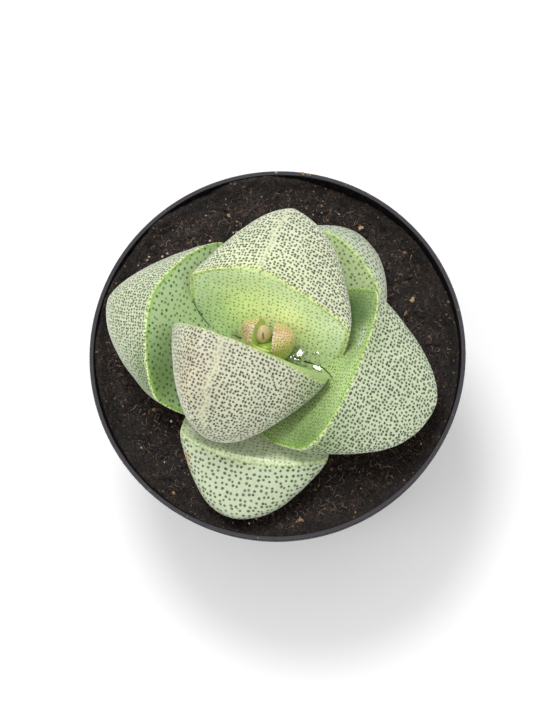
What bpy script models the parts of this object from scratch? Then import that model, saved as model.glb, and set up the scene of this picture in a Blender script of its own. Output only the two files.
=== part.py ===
"""Potted split-leaf succulent: a small round nursery pot filled with soil, and a low plant
of three crossed pairs of thick leaves, with a young pair and a bud in the top fissure.

The origin is the middle of the pot's foot, +Z is up. +Y runs to the back of the plant, and
+X to its right. Lengths are in metres.
"""

from math import cos, pi, radians, sin

import bmesh
import bpy
import numpy as np

MM = 0.001

# Clearance between pieces that touch on the real plant
GAP = 0.35 * MM

# Pot
RIM_RADIUS = 45 * MM
POT_HEIGHT = 70 * MM
WALL = 1.1 * MM
LIP_HEIGHT = 5.5 * MM
LIP_STEP = 0.9 * MM
RIM_ROUND = 0.35 * MM
SHOULDER_HEIGHT = 52 * MM
SHOULDER_STEP = 1.0 * MM
DRAFT = 0.15
FOOT_WIDTH = 8 * MM
FOOT_RECESS = 1.2 * MM
FLOOR = 1.3 * MM
POT_STEPS = 60
DRAIN_COUNT = 6
DRAIN_WIDTH = 9 * MM
DRAIN_REACH = 5 * MM
DRAIN_RISE = 5 * MM
CENTRE_DRAIN = 3 * MM
CENTRE_DRAIN_STEPS = 16

# Soil
SOIL_LEVEL = 63 * MM
SOIL_STEPS = 56
SOIL_RINGS = 11
SOIL_MOUND = 1.2 * MM
MOUND_SPREAD = 22 * MM
LUMP_SLOPE = 0.05
LUMP_LENGTHS = (6 * MM, 26 * MM)
LUMP_WAVES = 9
CRUMB_HEIGHT = 0.4 * MM
BANK_RISE = 3.4 * MM
BANK_SPAN = (14 * MM, 32 * MM)
BANK_HEADING = radians(135)
SOIL_SEED = 7

# Stem: a short crown that all the leaves sit round
STEM_FOOT = (-4.5 * MM, -3.2 * MM, 46 * MM)
STEM_LENGTH = 22 * MM
STEM_STEPS = 20
# Radius of the stem at shares of its length, from its root end to its blunt top
STEM_FORM = (
    (0.0, 0.0),
    (0.02, 4.6 * MM),
    (0.15, 5.4 * MM),
    (0.5, 6.5 * MM),
    (0.75, 6.5 * MM),
    (0.88, 5.6 * MM),
    (0.97, 3.2 * MM),
    (1.0, 0.0),
)

# Leaves
LEAF_STEPS = 36
FACE_RINGS = (-0.7, -0.35, -0.12, -0.03)
BACK_RINGS = (0.03, 0.12, 0.26, 0.42, 0.6, 0.78, 0.92)
MARGIN_ROUND = 0.02
BASE_POWER = 2.6
POWER_BLEND = 0.15
BACK_POWER_BASE = 2.0
TWIST_ROUND = 3 * MM


def leaf(
    left, right, tip, base, point, depth, pole, ridge, side, chin, heel, turn, foot, dish=1.0, twist=0.0
):
    """One leaf's design, with its lengths in millimetres.
    left, right, tip, base: half widths and lengths of the flat face, from the crossing of
        its keel line and its widest line
    point: power of the outline at the tip, sharper as it nears 1
    depth, pole: how deep the back is, and where across and along its deepest point lies
    ridge, side: powers that round the back below the tip and below the sides
    chin, heel: bulges of the back at the tip and at the base
    turn: heading, lean and roll in degrees
    foot: the point where the face starts from the plant's axis
    dish: hollow of the face
    twist: turn of the face's base half, in radians per metre of width"""
    return {
        "left": left * MM,
        "right": right * MM,
        "tip": tip * MM,
        "base": base * MM,
        "point": point,
        "depth": depth * MM,
        "pole": (pole[0] * MM, pole[1] * MM),
        "ridge": ridge,
        "side": side,
        "chin": chin * MM,
        "heel": heel * MM,
        "turn": turn,
        "foot": tuple(c * MM for c in foot),
        "dish": dish * MM,
        "twist": twist,
    }


LEAVES = {
    "leaf_inner_back": leaf(
        left=16.5, right=23.5, tip=9, base=20.5, point=1.4, depth=22.5, pole=(1, 6), ridge=3.5,
        side=1.5, chin=4.5, heel=6, turn=(77, 57, 10), foot=(-6.5, -1.9, 70.6),
    ),
    "leaf_inner_front": leaf(
        left=28.8, right=9.3, tip=12, base=15, point=1.45, depth=22.5, pole=(-8.5, 1.5), ridge=2.3,
        side=1.4, chin=3, heel=6, turn=(251, 87, 2), foot=(-14.0, 1.2, 72), twist=9,
    ),
    "leaf_middle_left": leaf(
        left=21.5, right=21, tip=13, base=20.5, point=1.5, depth=19.5, pole=(-3.5, 5.5), ridge=2.5,
        side=1.4, chin=4, heel=4, turn=(152, 40, -12), foot=(-5.2, -1.7, 67.2),
    ),
    "leaf_middle_right": leaf(
        left=26, right=16, tip=8, base=23.5, point=2.5, depth=23.5, pole=(-8.5, 11), ridge=2.8,
        side=1.5, chin=3, heel=4, turn=(339, 47, 5), foot=(-3.3, -5.3, 66.5),
    ),
    "leaf_outer_front": leaf(
        left=18.5, right=17, tip=5.5, base=19, point=1.9, depth=18, pole=(2.5, 3), ridge=2.9,
        side=1.5, chin=5.5, heel=2, turn=(260, 42, 1.5), foot=(-3.3, -8.5, 62.3),
    ),
    "leaf_outer_back": leaf(
        left=12.5, right=19, tip=10.5, base=22, point=2, depth=14, pole=(2, 2), ridge=2.7,
        side=1.4, chin=2, heel=2, turn=(48, 30, 3), foot=(-2.3, 3.8, 62.4),
    ),
}
YOUNG = {
    "young_leaf_left": leaf(
        left=3.8, right=3.8, tip=3, base=9.5, point=1.7, depth=3.8, pole=(0, 1), ridge=2.4,
        side=1.8, chin=0.6, heel=0.5, turn=(116, 69, -45), foot=(-2.2, -1.2, 75.2), dish=0.4,
    ),
    "young_leaf_right": leaf(
        left=3.8, right=3.8, tip=3, base=10, point=1.7, depth=5.4, pole=(0, 1), ridge=2.6,
        side=1.8, chin=0.8, heel=0.5, turn=(71, 73, 78), foot=(-1.1, -2.2, 75.2), dish=0.4,
    ),
}
YOUNG_STEPS = 24
BUD_FOOT = (-2.7 * MM, 0.3 * MM, 76.6 * MM)
BUD_TURN = (90, 72)
BUD_LENGTH = 8.6 * MM
BUD_RADIUS = 1.7 * MM
BUD_STEPS = 16
BUD_ROWS = 8
# Power that moves the bud's widest ring towards its top, and power that fills it out
BUD_RISE = 1.6
BUD_FILL = 0.8

# Round pieces are shaded smooth up to this angle between faces, in degrees
SHARP_ANGLE = 35

# Colour, roughness and metallic value of each finish
FINISHES = {
    "pot_plastic": ((0.025, 0.025, 0.028), 0.55, 0.0),
    "potting_soil": ((0.030, 0.018, 0.012), 0.95, 0.0),
    "plant_stem": ((0.30, 0.24, 0.12), 0.8, 0.0),
    "leaf_skin": ((0.46, 0.55, 0.34), 0.6, 0.0),
    "young_skin": ((0.62, 0.50, 0.30), 0.5, 0.0),
    "bud_skin": ((0.60, 0.48, 0.34), 0.6, 0.0),
}


def clear_scene():
    for old in list(bpy.data.objects):
        bpy.data.objects.remove(old, do_unlink=True)


def finish(name):
    """The material of that name, made once."""
    material = bpy.data.materials.get(name)
    if material is None:
        colour, roughness, metallic = FINISHES[name]
        material = bpy.data.materials.new(name)
        material.use_nodes = True
        shader = material.node_tree.nodes["Principled BSDF"]
        shader.inputs["Base Color"].default_value = (*colour, 1.0)
        shader.inputs["Roughness"].default_value = roughness
        shader.inputs["Metallic"].default_value = metallic
    return material


def add_object(name, points, faces, finish_name):
    mesh = bpy.data.meshes.new(name)
    mesh.from_pydata([tuple(p) for p in points], [], faces)
    mesh.shade_smooth()
    mesh.set_sharp_from_angle(angle=radians(SHARP_ANGLE))
    mesh.materials.append(finish(finish_name))
    obj = bpy.data.objects.new(name, mesh)
    bpy.context.collection.objects.link(obj)
    return obj


def add_rings(name, rows, finish_name):
    """A closed skin through rings of points, from its first pole to its last. Each row has
    the same number of points and runs anticlockwise seen from outside the first pole;
    the first and last rows have all their points in one place, and become one point."""
    steps = len(rows[0])
    points = [rows[0][0]]
    for row in rows[1:-1]:
        points += list(row)
    points.append(rows[-1][0])
    last = len(points) - 1
    faces = [(0, 1 + k, 1 + (k + 1) % steps) for k in range(steps)]
    for ring in range(len(rows) - 3):
        near = 1 + ring * steps
        far = near + steps
        for k in range(steps):
            j = (k + 1) % steps
            faces.append((near + k, far + k, far + j, near + j))
    start = last - steps
    faces += [(start + k, last, start + (k + 1) % steps) for k in range(steps)]
    return add_object(name, points, faces, finish_name)


def add_turned(name, profile, steps, finish_name):
    """A body turned round the Z axis. The profile runs from the axis over the inside
    or the top to the outer side, then down that side and back to the axis."""
    mesh = bpy.data.meshes.new(name)
    edges = [(k, k + 1) for k in range(len(profile) - 1)]
    mesh.from_pydata([(r, 0.0, z) for r, z in profile], edges, [])
    mesh.materials.append(finish(finish_name))
    obj = bpy.data.objects.new(name, mesh)
    bpy.context.collection.objects.link(obj)
    screw = obj.modifiers.new("turn", "SCREW")
    screw.steps = steps
    screw.render_steps = steps
    screw.use_merge_vertices = True
    screw.merge_threshold = 0.05 * MM
    screw.use_smooth_shade = True
    return obj


def settle(obj):
    """Makes the modifiers' result the object's own mesh, and keeps only its largest body."""
    graph = bpy.context.evaluated_depsgraph_get()
    mesh = bpy.data.meshes.new_from_object(obj.evaluated_get(graph))
    obj.modifiers.clear()
    obj.data = mesh
    keep_largest(mesh)


def keep_largest(mesh):
    form = bmesh.new()
    form.from_mesh(mesh)
    seen = set()
    bodies = []
    for start in form.verts:
        if start in seen:
            continue
        body = {start}
        front = [start]
        while front:
            here = front.pop()
            for edge in here.link_edges:
                other = edge.other_vert(here)
                if other not in body:
                    body.add(other)
                    front.append(other)
        seen |= body
        bodies.append(body)
    bodies.sort(key=len, reverse=True)
    scraps = [vert for body in bodies[1:] for vert in body]
    bmesh.ops.delete(form, geom=scraps, context="VERTS")
    form.to_mesh(mesh)
    form.free()


def cutter_of(obj, spare):
    """A copy of the object, grown by the spare distance along its normals, for cutting."""
    cutter = bpy.data.objects.new(obj.name + "_cutter", obj.data.copy())
    bpy.context.collection.objects.link(cutter)
    grow = cutter.modifiers.new("grow", "DISPLACE")
    grow.direction = "NORMAL"
    grow.mid_level = 0.0
    grow.strength = spare
    settle(cutter)
    hide(cutter)
    return cutter


def hide(cutter):
    cutter.hide_render = True
    cutter.display_type = "WIRE"


def carve(obj, cutters):
    """Cuts away what the cutters cover."""
    for cutter in cutters:
        cut = obj.modifiers.new("cut", "BOOLEAN")
        cut.operation = "DIFFERENCE"
        cut.solver = "EXACT"
        cut.object = cutter
    settle(obj)


def drop(cutters):
    for cutter in cutters:
        bpy.data.objects.remove(cutter, do_unlink=True)


def outer_wall(z):
    """Radius of the pot's tapered outer side below the lip, at height z."""
    top = POT_HEIGHT - LIP_HEIGHT
    radius = RIM_RADIUS - LIP_STEP - DRAFT * (top - z)
    return radius if z > SHOULDER_HEIGHT else radius - SHOULDER_STEP


def inner_wall(z):
    return outer_wall(z) - WALL


def pot_profile():
    lip = POT_HEIGHT - LIP_HEIGHT
    foot = outer_wall(0.0)
    floor = FOOT_RECESS + FLOOR
    rim_inner = RIM_RADIUS - WALL
    above = SHOULDER_HEIGHT + SHOULDER_STEP
    return [
        (0.0, floor),
        (inner_wall(floor), floor),
        (inner_wall(SHOULDER_HEIGHT), SHOULDER_HEIGHT),
        (inner_wall(above), above),
        (rim_inner - RIM_ROUND, lip),
        (rim_inner, POT_HEIGHT - RIM_ROUND),
        (rim_inner + RIM_ROUND, POT_HEIGHT),
        (RIM_RADIUS - RIM_ROUND, POT_HEIGHT),
        (RIM_RADIUS, POT_HEIGHT - RIM_ROUND),
        (RIM_RADIUS - RIM_ROUND, lip),
        (RIM_RADIUS - LIP_STEP, lip - RIM_ROUND),
        (outer_wall(above), above),
        (outer_wall(SHOULDER_HEIGHT), SHOULDER_HEIGHT),
        (outer_wall(LIP_STEP), LIP_STEP),
        (foot - LIP_STEP, 0.0),
        (foot - FOOT_WIDTH, 0.0),
        (foot - FOOT_WIDTH - FOOT_RECESS, FOOT_RECESS),
        (0.0, FOOT_RECESS),
    ]


def drain_cutters():
    """Slots through the corner of foot and wall, and a round hole in the middle."""
    cutters = []
    corner = outer_wall(0.0)
    for k in range(DRAIN_COUNT):
        angle = 2 * pi * k / DRAIN_COUNT
        form = bmesh.new()
        bmesh.ops.create_cube(form, size=1.0)
        bmesh.ops.scale(form, vec=(2 * DRAIN_REACH, DRAIN_WIDTH, 2 * DRAIN_RISE), verts=form.verts)
        cutters.append(add_cutter("slot_%d" % k, form))
        cutters[-1].location = (corner * cos(angle), corner * sin(angle), 0.0)
        cutters[-1].rotation_euler = (0.0, 0.0, angle)
    form = bmesh.new()
    bmesh.ops.create_cone(
        form,
        cap_ends=True,
        segments=CENTRE_DRAIN_STEPS,
        radius1=CENTRE_DRAIN,
        radius2=CENTRE_DRAIN,
        depth=2 * DRAIN_RISE,
    )
    cutters.append(add_cutter("centre_drain", form))
    return cutters


def add_cutter(name, form):
    mesh = bpy.data.meshes.new(name)
    form.to_mesh(mesh)
    form.free()
    cutter = bpy.data.objects.new(name, mesh)
    bpy.context.collection.objects.link(cutter)
    hide(cutter)
    return cutter


def make_pot():
    pot = add_turned("pot", pot_profile(), POT_STEPS, "pot_plastic")
    cutters = drain_cutters()
    carve(pot, cutters)
    drop(cutters)
    pot.data.set_sharp_from_angle(angle=radians(SHARP_ANGLE))
    return pot


def soil_height(x, y, waves):
    """Height of the soil over a point of the ground plan: a low mound under the plant and a
    bank that rises by an S curve towards one side of the wall, with lumps that are the sum
    of plane sine waves, each a fixed slope high for its length."""
    height = SOIL_LEVEL + SOIL_MOUND * np.exp(-(x * x + y * y) / MOUND_SPREAD**2)
    towards = x * cos(BANK_HEADING) + y * sin(BANK_HEADING)
    share = np.clip((towards - BANK_SPAN[0]) / (BANK_SPAN[1] - BANK_SPAN[0]), 0, 1)
    height = height + BANK_RISE * share * share * (3 - 2 * share)
    for length, angle, phase in waves:
        along = x * cos(angle) + y * sin(angle)
        height = height + LUMP_SLOPE * length * np.sin(2 * pi * along / length + phase) / LUMP_WAVES**0.5
    return height


def soil_waves(rng):
    lengths = np.geomspace(*LUMP_LENGTHS, LUMP_WAVES)
    return [(length, rng.uniform(0, pi), rng.uniform(0, 2 * pi)) for length in lengths]


def make_soil():
    rng = np.random.RandomState(SOIL_SEED)
    waves = soil_waves(rng)
    around = np.arange(SOIL_STEPS) * 2 * pi / SOIL_STEPS
    edge = inner_wall(SOIL_LEVEL) - GAP
    rows = [[(0.0, 0.0, float(soil_height(0.0, 0.0, waves)))] * SOIL_STEPS]
    for ring in range(1, SOIL_RINGS + 1):
        radius = edge * ring / SOIL_RINGS
        x = radius * np.cos(around)
        y = radius * np.sin(around)
        crumb = CRUMB_HEIGHT * rng.uniform(-1, 1, SOIL_STEPS) * (ring < SOIL_RINGS)
        rows.append(np.column_stack([x, y, soil_height(x, y, waves) + crumb]))
    shoulder = SHOULDER_HEIGHT + SHOULDER_STEP
    bottom = FOOT_RECESS + FLOOR + GAP
    for z, radius in (
        (shoulder, inner_wall(shoulder) - GAP),
        (SHOULDER_HEIGHT, inner_wall(SHOULDER_HEIGHT) - GAP),
        (bottom, inner_wall(bottom) - GAP),
    ):
        rows.append([(radius * cos(a), radius * sin(a), z) for a in around])
    rows.append([(0.0, 0.0, bottom)] * SOIL_STEPS)
    return add_rings("soil", rows, "potting_soil")


def make_stem():
    """A blunt crown, widest at soil level and rounded off under the inner leaves."""
    turns = [2 * pi * k / STEM_STEPS for k in range(STEM_STEPS)]
    rows = []
    for along, radius in reversed(STEM_FORM):
        z = STEM_FOOT[2] + STEM_LENGTH * along
        rows.append([(STEM_FOOT[0] + radius * cos(a), STEM_FOOT[1] + radius * sin(a), z) for a in turns])
    return add_rings("stem", rows, "plant_stem")


def turned_axes(heading, lean, roll):
    """Rows: the directions across the leaf, along it and out of its face. It points to the
    heading round Z, leans up from level, and rolls about its own length."""
    h, e, g = radians(heading), radians(lean), radians(roll)
    along = np.array([cos(h) * cos(e), sin(h) * cos(e), sin(e)])
    out = np.array([-cos(h) * sin(e), -sin(h) * sin(e), cos(e)])
    across = np.cross(along, out)
    return np.stack([across * cos(g) + out * sin(g), along, out * cos(g) - across * sin(g)])


def margin(theta, form):
    """The face's outline: a superellipse whose half widths and lengths differ on its four
    sides, and whose power changes smoothly from the blunt base to the sharper tip."""
    c = np.cos(theta)
    s = np.sin(theta)
    a = np.where(c >= 0, form["right"], form["left"])
    b = np.where(s >= 0, form["tip"], form["base"])
    blend = 0.5 + 0.5 * np.tanh(s / POWER_BLEND)
    power = BASE_POWER + (form["point"] - BASE_POWER) * blend
    return a * np.sign(c) * np.abs(c) ** (2 / power), b * np.sign(s) * np.abs(s) ** (2 / power)


def soft_step(t):
    """t where it is positive and 0 where it is negative, with the corner rounded, and 1 at 1."""
    return np.logaddexp(0, t / MARGIN_ROUND) / np.logaddexp(0, 1 / MARGIN_ROUND)


def leaf_point(t, theta, form):
    """A point of the leaf's skin in its own axes. t runs from -1 at the middle of the face
    over 0 at the margin to 1 at the deepest point of the back, theta round the leaf.
    The face is the outline shrunk towards its middle, with a shallow dish. The back is the
    outline swept along a superellipse arc down to its pole, with a bulge at tip and base.
    A twist turns the base half about the widest line, more the further out to the side."""
    x0, y0 = margin(theta, form)
    inward = 1 - np.clip(soft_step(-t), 0, 1)
    psi = np.clip(soft_step(t), 0, 1) * pi / 2
    tipward = np.clip(np.sin(theta), 0, 1) ** 2
    baseward = np.clip(-np.sin(theta), 0, 1) ** 2
    power = form["side"] * (1 - tipward - baseward) + form["ridge"] * tipward + BACK_POWER_BASE * baseward
    power = 2 + (power - 2) * (1 - (psi / (pi / 2)) ** 3)
    shrink = np.cos(psi) ** (2 / power)
    swell = np.sin(2 * psi)
    bulge = form["chin"] * tipward**0.75 - form["heel"] * baseward**0.75
    x = x0 * (inward + shrink - 1) + form["pole"][0] * (1 - shrink)
    y = y0 * (inward + shrink - 1) + form["pole"][1] * (1 - shrink) + swell * bulge + form["base"]
    z = -form["dish"] * (1 - inward**2) ** 2 - form["depth"] * np.sin(psi) ** (2 / power)
    beyond = y - form["base"]
    z = z + form["twist"] * x * (beyond - np.sqrt(beyond**2 + TWIST_ROUND**2)) / 2
    return np.stack([x, y, z], -1)


def make_leaf(name, form, steps, finish_name):
    around = np.arange(steps) * 2 * pi / steps
    rings = np.array((-1.0, *FACE_RINGS, 0.0, *BACK_RINGS, 1.0))
    t, theta = np.meshgrid(rings, around, indexing="ij")
    points = leaf_point(t, theta, form) @ turned_axes(*form["turn"]) + np.array(form["foot"])
    return add_rings(name, list(points), finish_name)


def make_bud():
    """An egg on a tapered foot, turned round its own axis and set between the young leaves."""
    axes = turned_axes(*BUD_TURN, 0.0)
    rows = []
    for k in range(BUD_ROWS + 1):
        along = k / BUD_ROWS
        radius = BUD_RADIUS * sin(pi * along**BUD_RISE) ** BUD_FILL if 0 < k < BUD_ROWS else 0.0
        row = []
        for step in range(BUD_STEPS):
            a = 2 * pi * step / BUD_STEPS
            local = np.array([radius * cos(a), BUD_LENGTH * along, radius * sin(a)])
            row.append(local @ axes + np.array(BUD_FOOT))
        rows.append(row)
    return add_rings("bud", rows, "bud_skin")


def make_plant():
    """Leaves in the order they were grown, from the inside out: each older leaf gives way
    to the ones inside it, and all of them fit round the stem."""
    stem = make_stem()
    stem_cutter = cutter_of(stem, GAP)
    cutters = []
    leaves = []
    for name, form in LEAVES.items():
        new = make_leaf(name, form, LEAF_STEPS, "leaf_skin")
        whole = cutter_of(new, GAP)
        carve(new, [stem_cutter] + cutters)
        cutters.append(whole)
        leaves.append(new)
    inner = cutters[:2]
    young_cutters = []
    for name, form in YOUNG.items():
        new = make_leaf(name, form, YOUNG_STEPS, "young_skin")
        whole = cutter_of(new, GAP)
        carve(new, inner + young_cutters)
        young_cutters.append(whole)
    carve(make_bud(), inner + young_cutters)
    drop(young_cutters)
    return [stem_cutter] + cutters


def main():
    clear_scene()
    make_pot()
    soil = make_soil()
    cutters = make_plant()
    carve(soil, cutters)
    drop(cutters)


main()
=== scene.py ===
"""Looks of the potted split-leaf succulent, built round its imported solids.

Each leaf is a fine skin with a flat face, a sharp margin and a keeled back, coloured by where
a point lies on the leaf and dotted along the skin. The pot is a turned shell, the soil a
lumpy disc strewn with crumbs and fibres. Lengths are in metres, +Z is up.
"""

from math import pi, radians

import bpy
import numpy as np
from mathutils import Matrix, Vector


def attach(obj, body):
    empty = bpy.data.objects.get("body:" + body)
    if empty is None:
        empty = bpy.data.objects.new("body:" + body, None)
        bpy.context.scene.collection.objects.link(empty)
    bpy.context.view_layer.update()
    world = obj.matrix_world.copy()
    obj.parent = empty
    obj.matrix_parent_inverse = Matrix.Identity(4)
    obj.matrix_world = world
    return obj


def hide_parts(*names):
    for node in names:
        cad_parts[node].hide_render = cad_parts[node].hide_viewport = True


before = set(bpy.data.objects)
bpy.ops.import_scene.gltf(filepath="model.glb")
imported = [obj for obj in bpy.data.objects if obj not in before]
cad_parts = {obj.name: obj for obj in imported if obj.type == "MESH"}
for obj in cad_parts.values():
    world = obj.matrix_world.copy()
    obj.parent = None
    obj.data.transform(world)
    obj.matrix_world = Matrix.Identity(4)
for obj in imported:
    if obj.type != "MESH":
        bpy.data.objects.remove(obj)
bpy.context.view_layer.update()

bl_info = {
    "name": "Potted split-leaf succulent",
    "version": (1, 0, 0),
    "blender": (4, 5, 0),
    "location": "3D View > Sidebar > Succulent",
    "description": "Builds the potted succulent: pot, soil, leaves, bud, water drops and stage",
    "category": "Add Mesh",
}

MM = 0.001
BODY = "root"

# Directions of the view from which the plant is framed: tilt from straight down, and turn
VIEW_TILT = radians(11.7)
VIEW_TURN = radians(14.7)
VIEW_DISTANCE = 0.5
VIEW_HEIGHT = 0.07
VIEW_LENS = 105.7
VIEW_SHIFT = (-10.1 / 714, -4.5 / 714)

# Pot
RIM_RADIUS = 45 * MM
POT_HEIGHT = 70 * MM
WALL = 1.1 * MM
LIP_HEIGHT = 5.5 * MM
LIP_STEP = 0.9 * MM
SHOULDER_HEIGHT = 52 * MM
SHOULDER_STEP = 1.0 * MM
DRAFT = 0.15
FOOT_WIDTH = 8 * MM
FOOT_RECESS = 1.2 * MM
FLOOR = 1.3 * MM
DRAIN_COUNT = 6
DRAIN_REACH = 5 * MM
DRAIN_RISE = 5 * MM
DRAIN_COLUMNS = 5
POT_STEPS = 240

# Soil
SOIL_LEVEL = 63 * MM
SOIL_MOUND = 1.2 * MM
MOUND_SPREAD = 22 * MM
LUMP_SLOPE = 0.05
LUMP_LENGTHS = (6 * MM, 26 * MM)
LUMP_WAVES = 9
SOIL_SEED = 7
BANK_RISE = 3.4 * MM
BANK_SPAN = (14 * MM, 32 * MM)
BANK_HEADING = radians(135)
WALL_CLIMB = 2.2 * MM
SOIL_STEPS = 620
SOIL_RINGS = 130
SOIL_CORE = 12 * MM

# Leaves
BASE_POWER = 2.6
POWER_BLEND = 0.15
BACK_POWER_BASE = 2.0
TWIST_ROUND = 3 * MM
RIM_OUT = 0.25 * MM
RIM_IN = 0.42 * MM
FACE_RINGS = 34
BACK_RINGS = 84
LEAF_STEPS = 228
GORES = 6
YOUNG_RINGS = (20, 48)
YOUNG_STEPS = 132
BUD_FOOT = (-2.7 * MM, 0.3 * MM, 76.6 * MM)
BUD_TURN = (90, 72)
BUD_LENGTH = 8.6 * MM
BUD_RADIUS = 2.05 * MM
BUD_RISE = 1.6
BUD_FILL = 0.8


def rgb(red, green, blue):
    """A display colour, 0 to 255, as linear light from 0 to 1."""
    share = np.array((red, green, blue)) / 255
    linear = np.where(share <= 0.04045, share / 12.92, ((share + 0.055) / 1.055) ** 2.4)
    return tuple(float(c) for c in linear)


def leaf(
    left, right, tip, base, point, depth, pole, ridge, side, chin, heel, turn, foot, dish=1.0, twist=0.0,
    soft=0.004,
):
    """One leaf's design, with its lengths in millimetres.
    left, right, tip, base: half widths and lengths of the flat face, from the crossing of
        its keel line and its widest line
    point: power of the outline at the tip, sharper as it nears 1
    depth, pole: how deep the back is, and where across and along its deepest point lies
    ridge, side: powers that round the back below the tip and below the sides
    chin, heel: bulges of the back at the tip and at the base
    turn: heading, lean and roll in degrees
    foot: the point where the face starts from the plant's axis
    dish: hollow of the face
    twist: turn of the face's base half, in radians per metre of width
    soft: how far the margin's rounding reaches, as a share of the way to the middle"""
    return {
        "left": left * MM,
        "right": right * MM,
        "tip": tip * MM,
        "base": base * MM,
        "point": point,
        "depth": depth * MM,
        "pole": (pole[0] * MM, pole[1] * MM),
        "ridge": ridge,
        "side": side,
        "chin": chin * MM,
        "heel": heel * MM,
        "turn": turn,
        "foot": tuple(c * MM for c in foot),
        "dish": dish * MM,
        "twist": twist,
        "soft": soft,
    }


LEAVES = {
    "leaf_inner_back": leaf(
        left=16.5, right=23.5, tip=9, base=20.5, point=1.4, depth=22.5, pole=(1, 6), ridge=3.5,
        side=1.5, chin=4.5, heel=6, turn=(77, 57, 10), foot=(-6.5, -1.9, 70.6),
    ),
    "leaf_inner_front": leaf(
        left=28.8, right=9.3, tip=12, base=15, point=1.45, depth=22.5, pole=(-8.5, 1.5), ridge=2.3,
        side=1.4, chin=3, heel=6, turn=(251, 87, 2), foot=(-14.0, 1.2, 72), twist=9,
    ),
    "leaf_middle_left": leaf(
        left=21.5, right=21, tip=13, base=20.5, point=1.5, depth=19.5, pole=(-3.5, 5.5), ridge=2.5,
        side=1.4, chin=4, heel=4, turn=(152, 40, -12), foot=(-5.2, -1.7, 67.2),
    ),
    "leaf_middle_right": leaf(
        left=26, right=16, tip=8, base=23.5, point=2.5, depth=23.5, pole=(-8.5, 11), ridge=2.8,
        side=1.5, chin=3, heel=4, turn=(339, 47, 5), foot=(-3.3, -5.3, 66.5),
    ),
    "leaf_outer_front": leaf(
        left=18.5, right=17, tip=5.5, base=19, point=1.9, depth=18, pole=(2.5, 3), ridge=2.9,
        side=1.5, chin=5.5, heel=2, turn=(260, 42, 1.5), foot=(-3.3, -8.5, 62.3), soft=0.02,
    ),
    "leaf_outer_back": leaf(
        left=12.5, right=19, tip=10.5, base=22, point=2, depth=14, pole=(2, 2), ridge=2.7,
        side=1.4, chin=2, heel=2, turn=(48, 30, 3), foot=(-2.3, 3.8, 62.4), soft=0.012,
    ),
}
YOUNG = {
    "young_leaf_left": leaf(
        left=3.8, right=3.8, tip=3, base=9.5, point=1.7, depth=3.8, pole=(0, 1), ridge=2.4,
        side=1.8, chin=0.6, heel=0.5, turn=(116, 69, -45), foot=(-2.2, -1.2, 75.2), dish=0.4,
    ),
    "young_leaf_right": leaf(
        left=3.8, right=3.8, tip=3, base=10, point=1.7, depth=5.4, pole=(0, 1), ridge=2.6,
        side=1.8, chin=0.8, heel=0.5, turn=(71, 73, 78), foot=(-1.1, -2.2, 75.2), dish=0.4,
    ),
}


def look(
    back, face, rim, inner, back_dots, face_dots, face_strength, dot, face_dot=(78, 112, 60), keel=None,
    patches=(), purple=0.0, rim_width=0.42, rim_strength=1.0, wet=(), strip=None, through=0.15,
):
    """One leaf's colours and dots.
    back, face: display colours of its back and its face
    rim, inner: display colours of the pale line outside its margin and the green one inside
    back_dots, face_dots: spacing and radius of the dots in millimetres
    face_strength: how strongly the face's dots show
    dot, face_dot: display colours of the dots of back and face
    keel: angle round the leaf, reach and half width in mm, strength of the pale keel
    patches: (run, angle, radius in mm, colour, strength) of each tinted patch, where run
        goes from -1 at the face's middle over 0 at the margin to 1 at the back's pole; besides
        tints of the leaf's own colour, some patches are painted glow, shade and highlights
    purple: share of the dots that are purple brown
    rim_width, rim_strength: half width in mm and strength of the margin's lines
    wet: (run, angle, radius in mm) of each wet patch
    strip: (angle, half width, reach in mm) where the face's skin runs on over the margin
    through: share of the light that passes through the skin"""
    return {
        "back": rgb(*back),
        "face": rgb(*face),
        "rim": rgb(*rim),
        "inner": rgb(*inner),
        "back_dots": (back_dots[0] * MM, back_dots[1] * MM),
        "face_dots": (face_dots[0] * MM, face_dots[1] * MM),
        "face_strength": face_strength,
        "dot": rgb(*dot),
        "face_dot": rgb(*face_dot),
        "keel": keel,
        "patches": patches,
        "purple": purple,
        "rim_width": rim_width * MM,
        "rim_strength": rim_strength,
        "wet": wet,
        "strip": strip,
        "through": through,
    }


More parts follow.
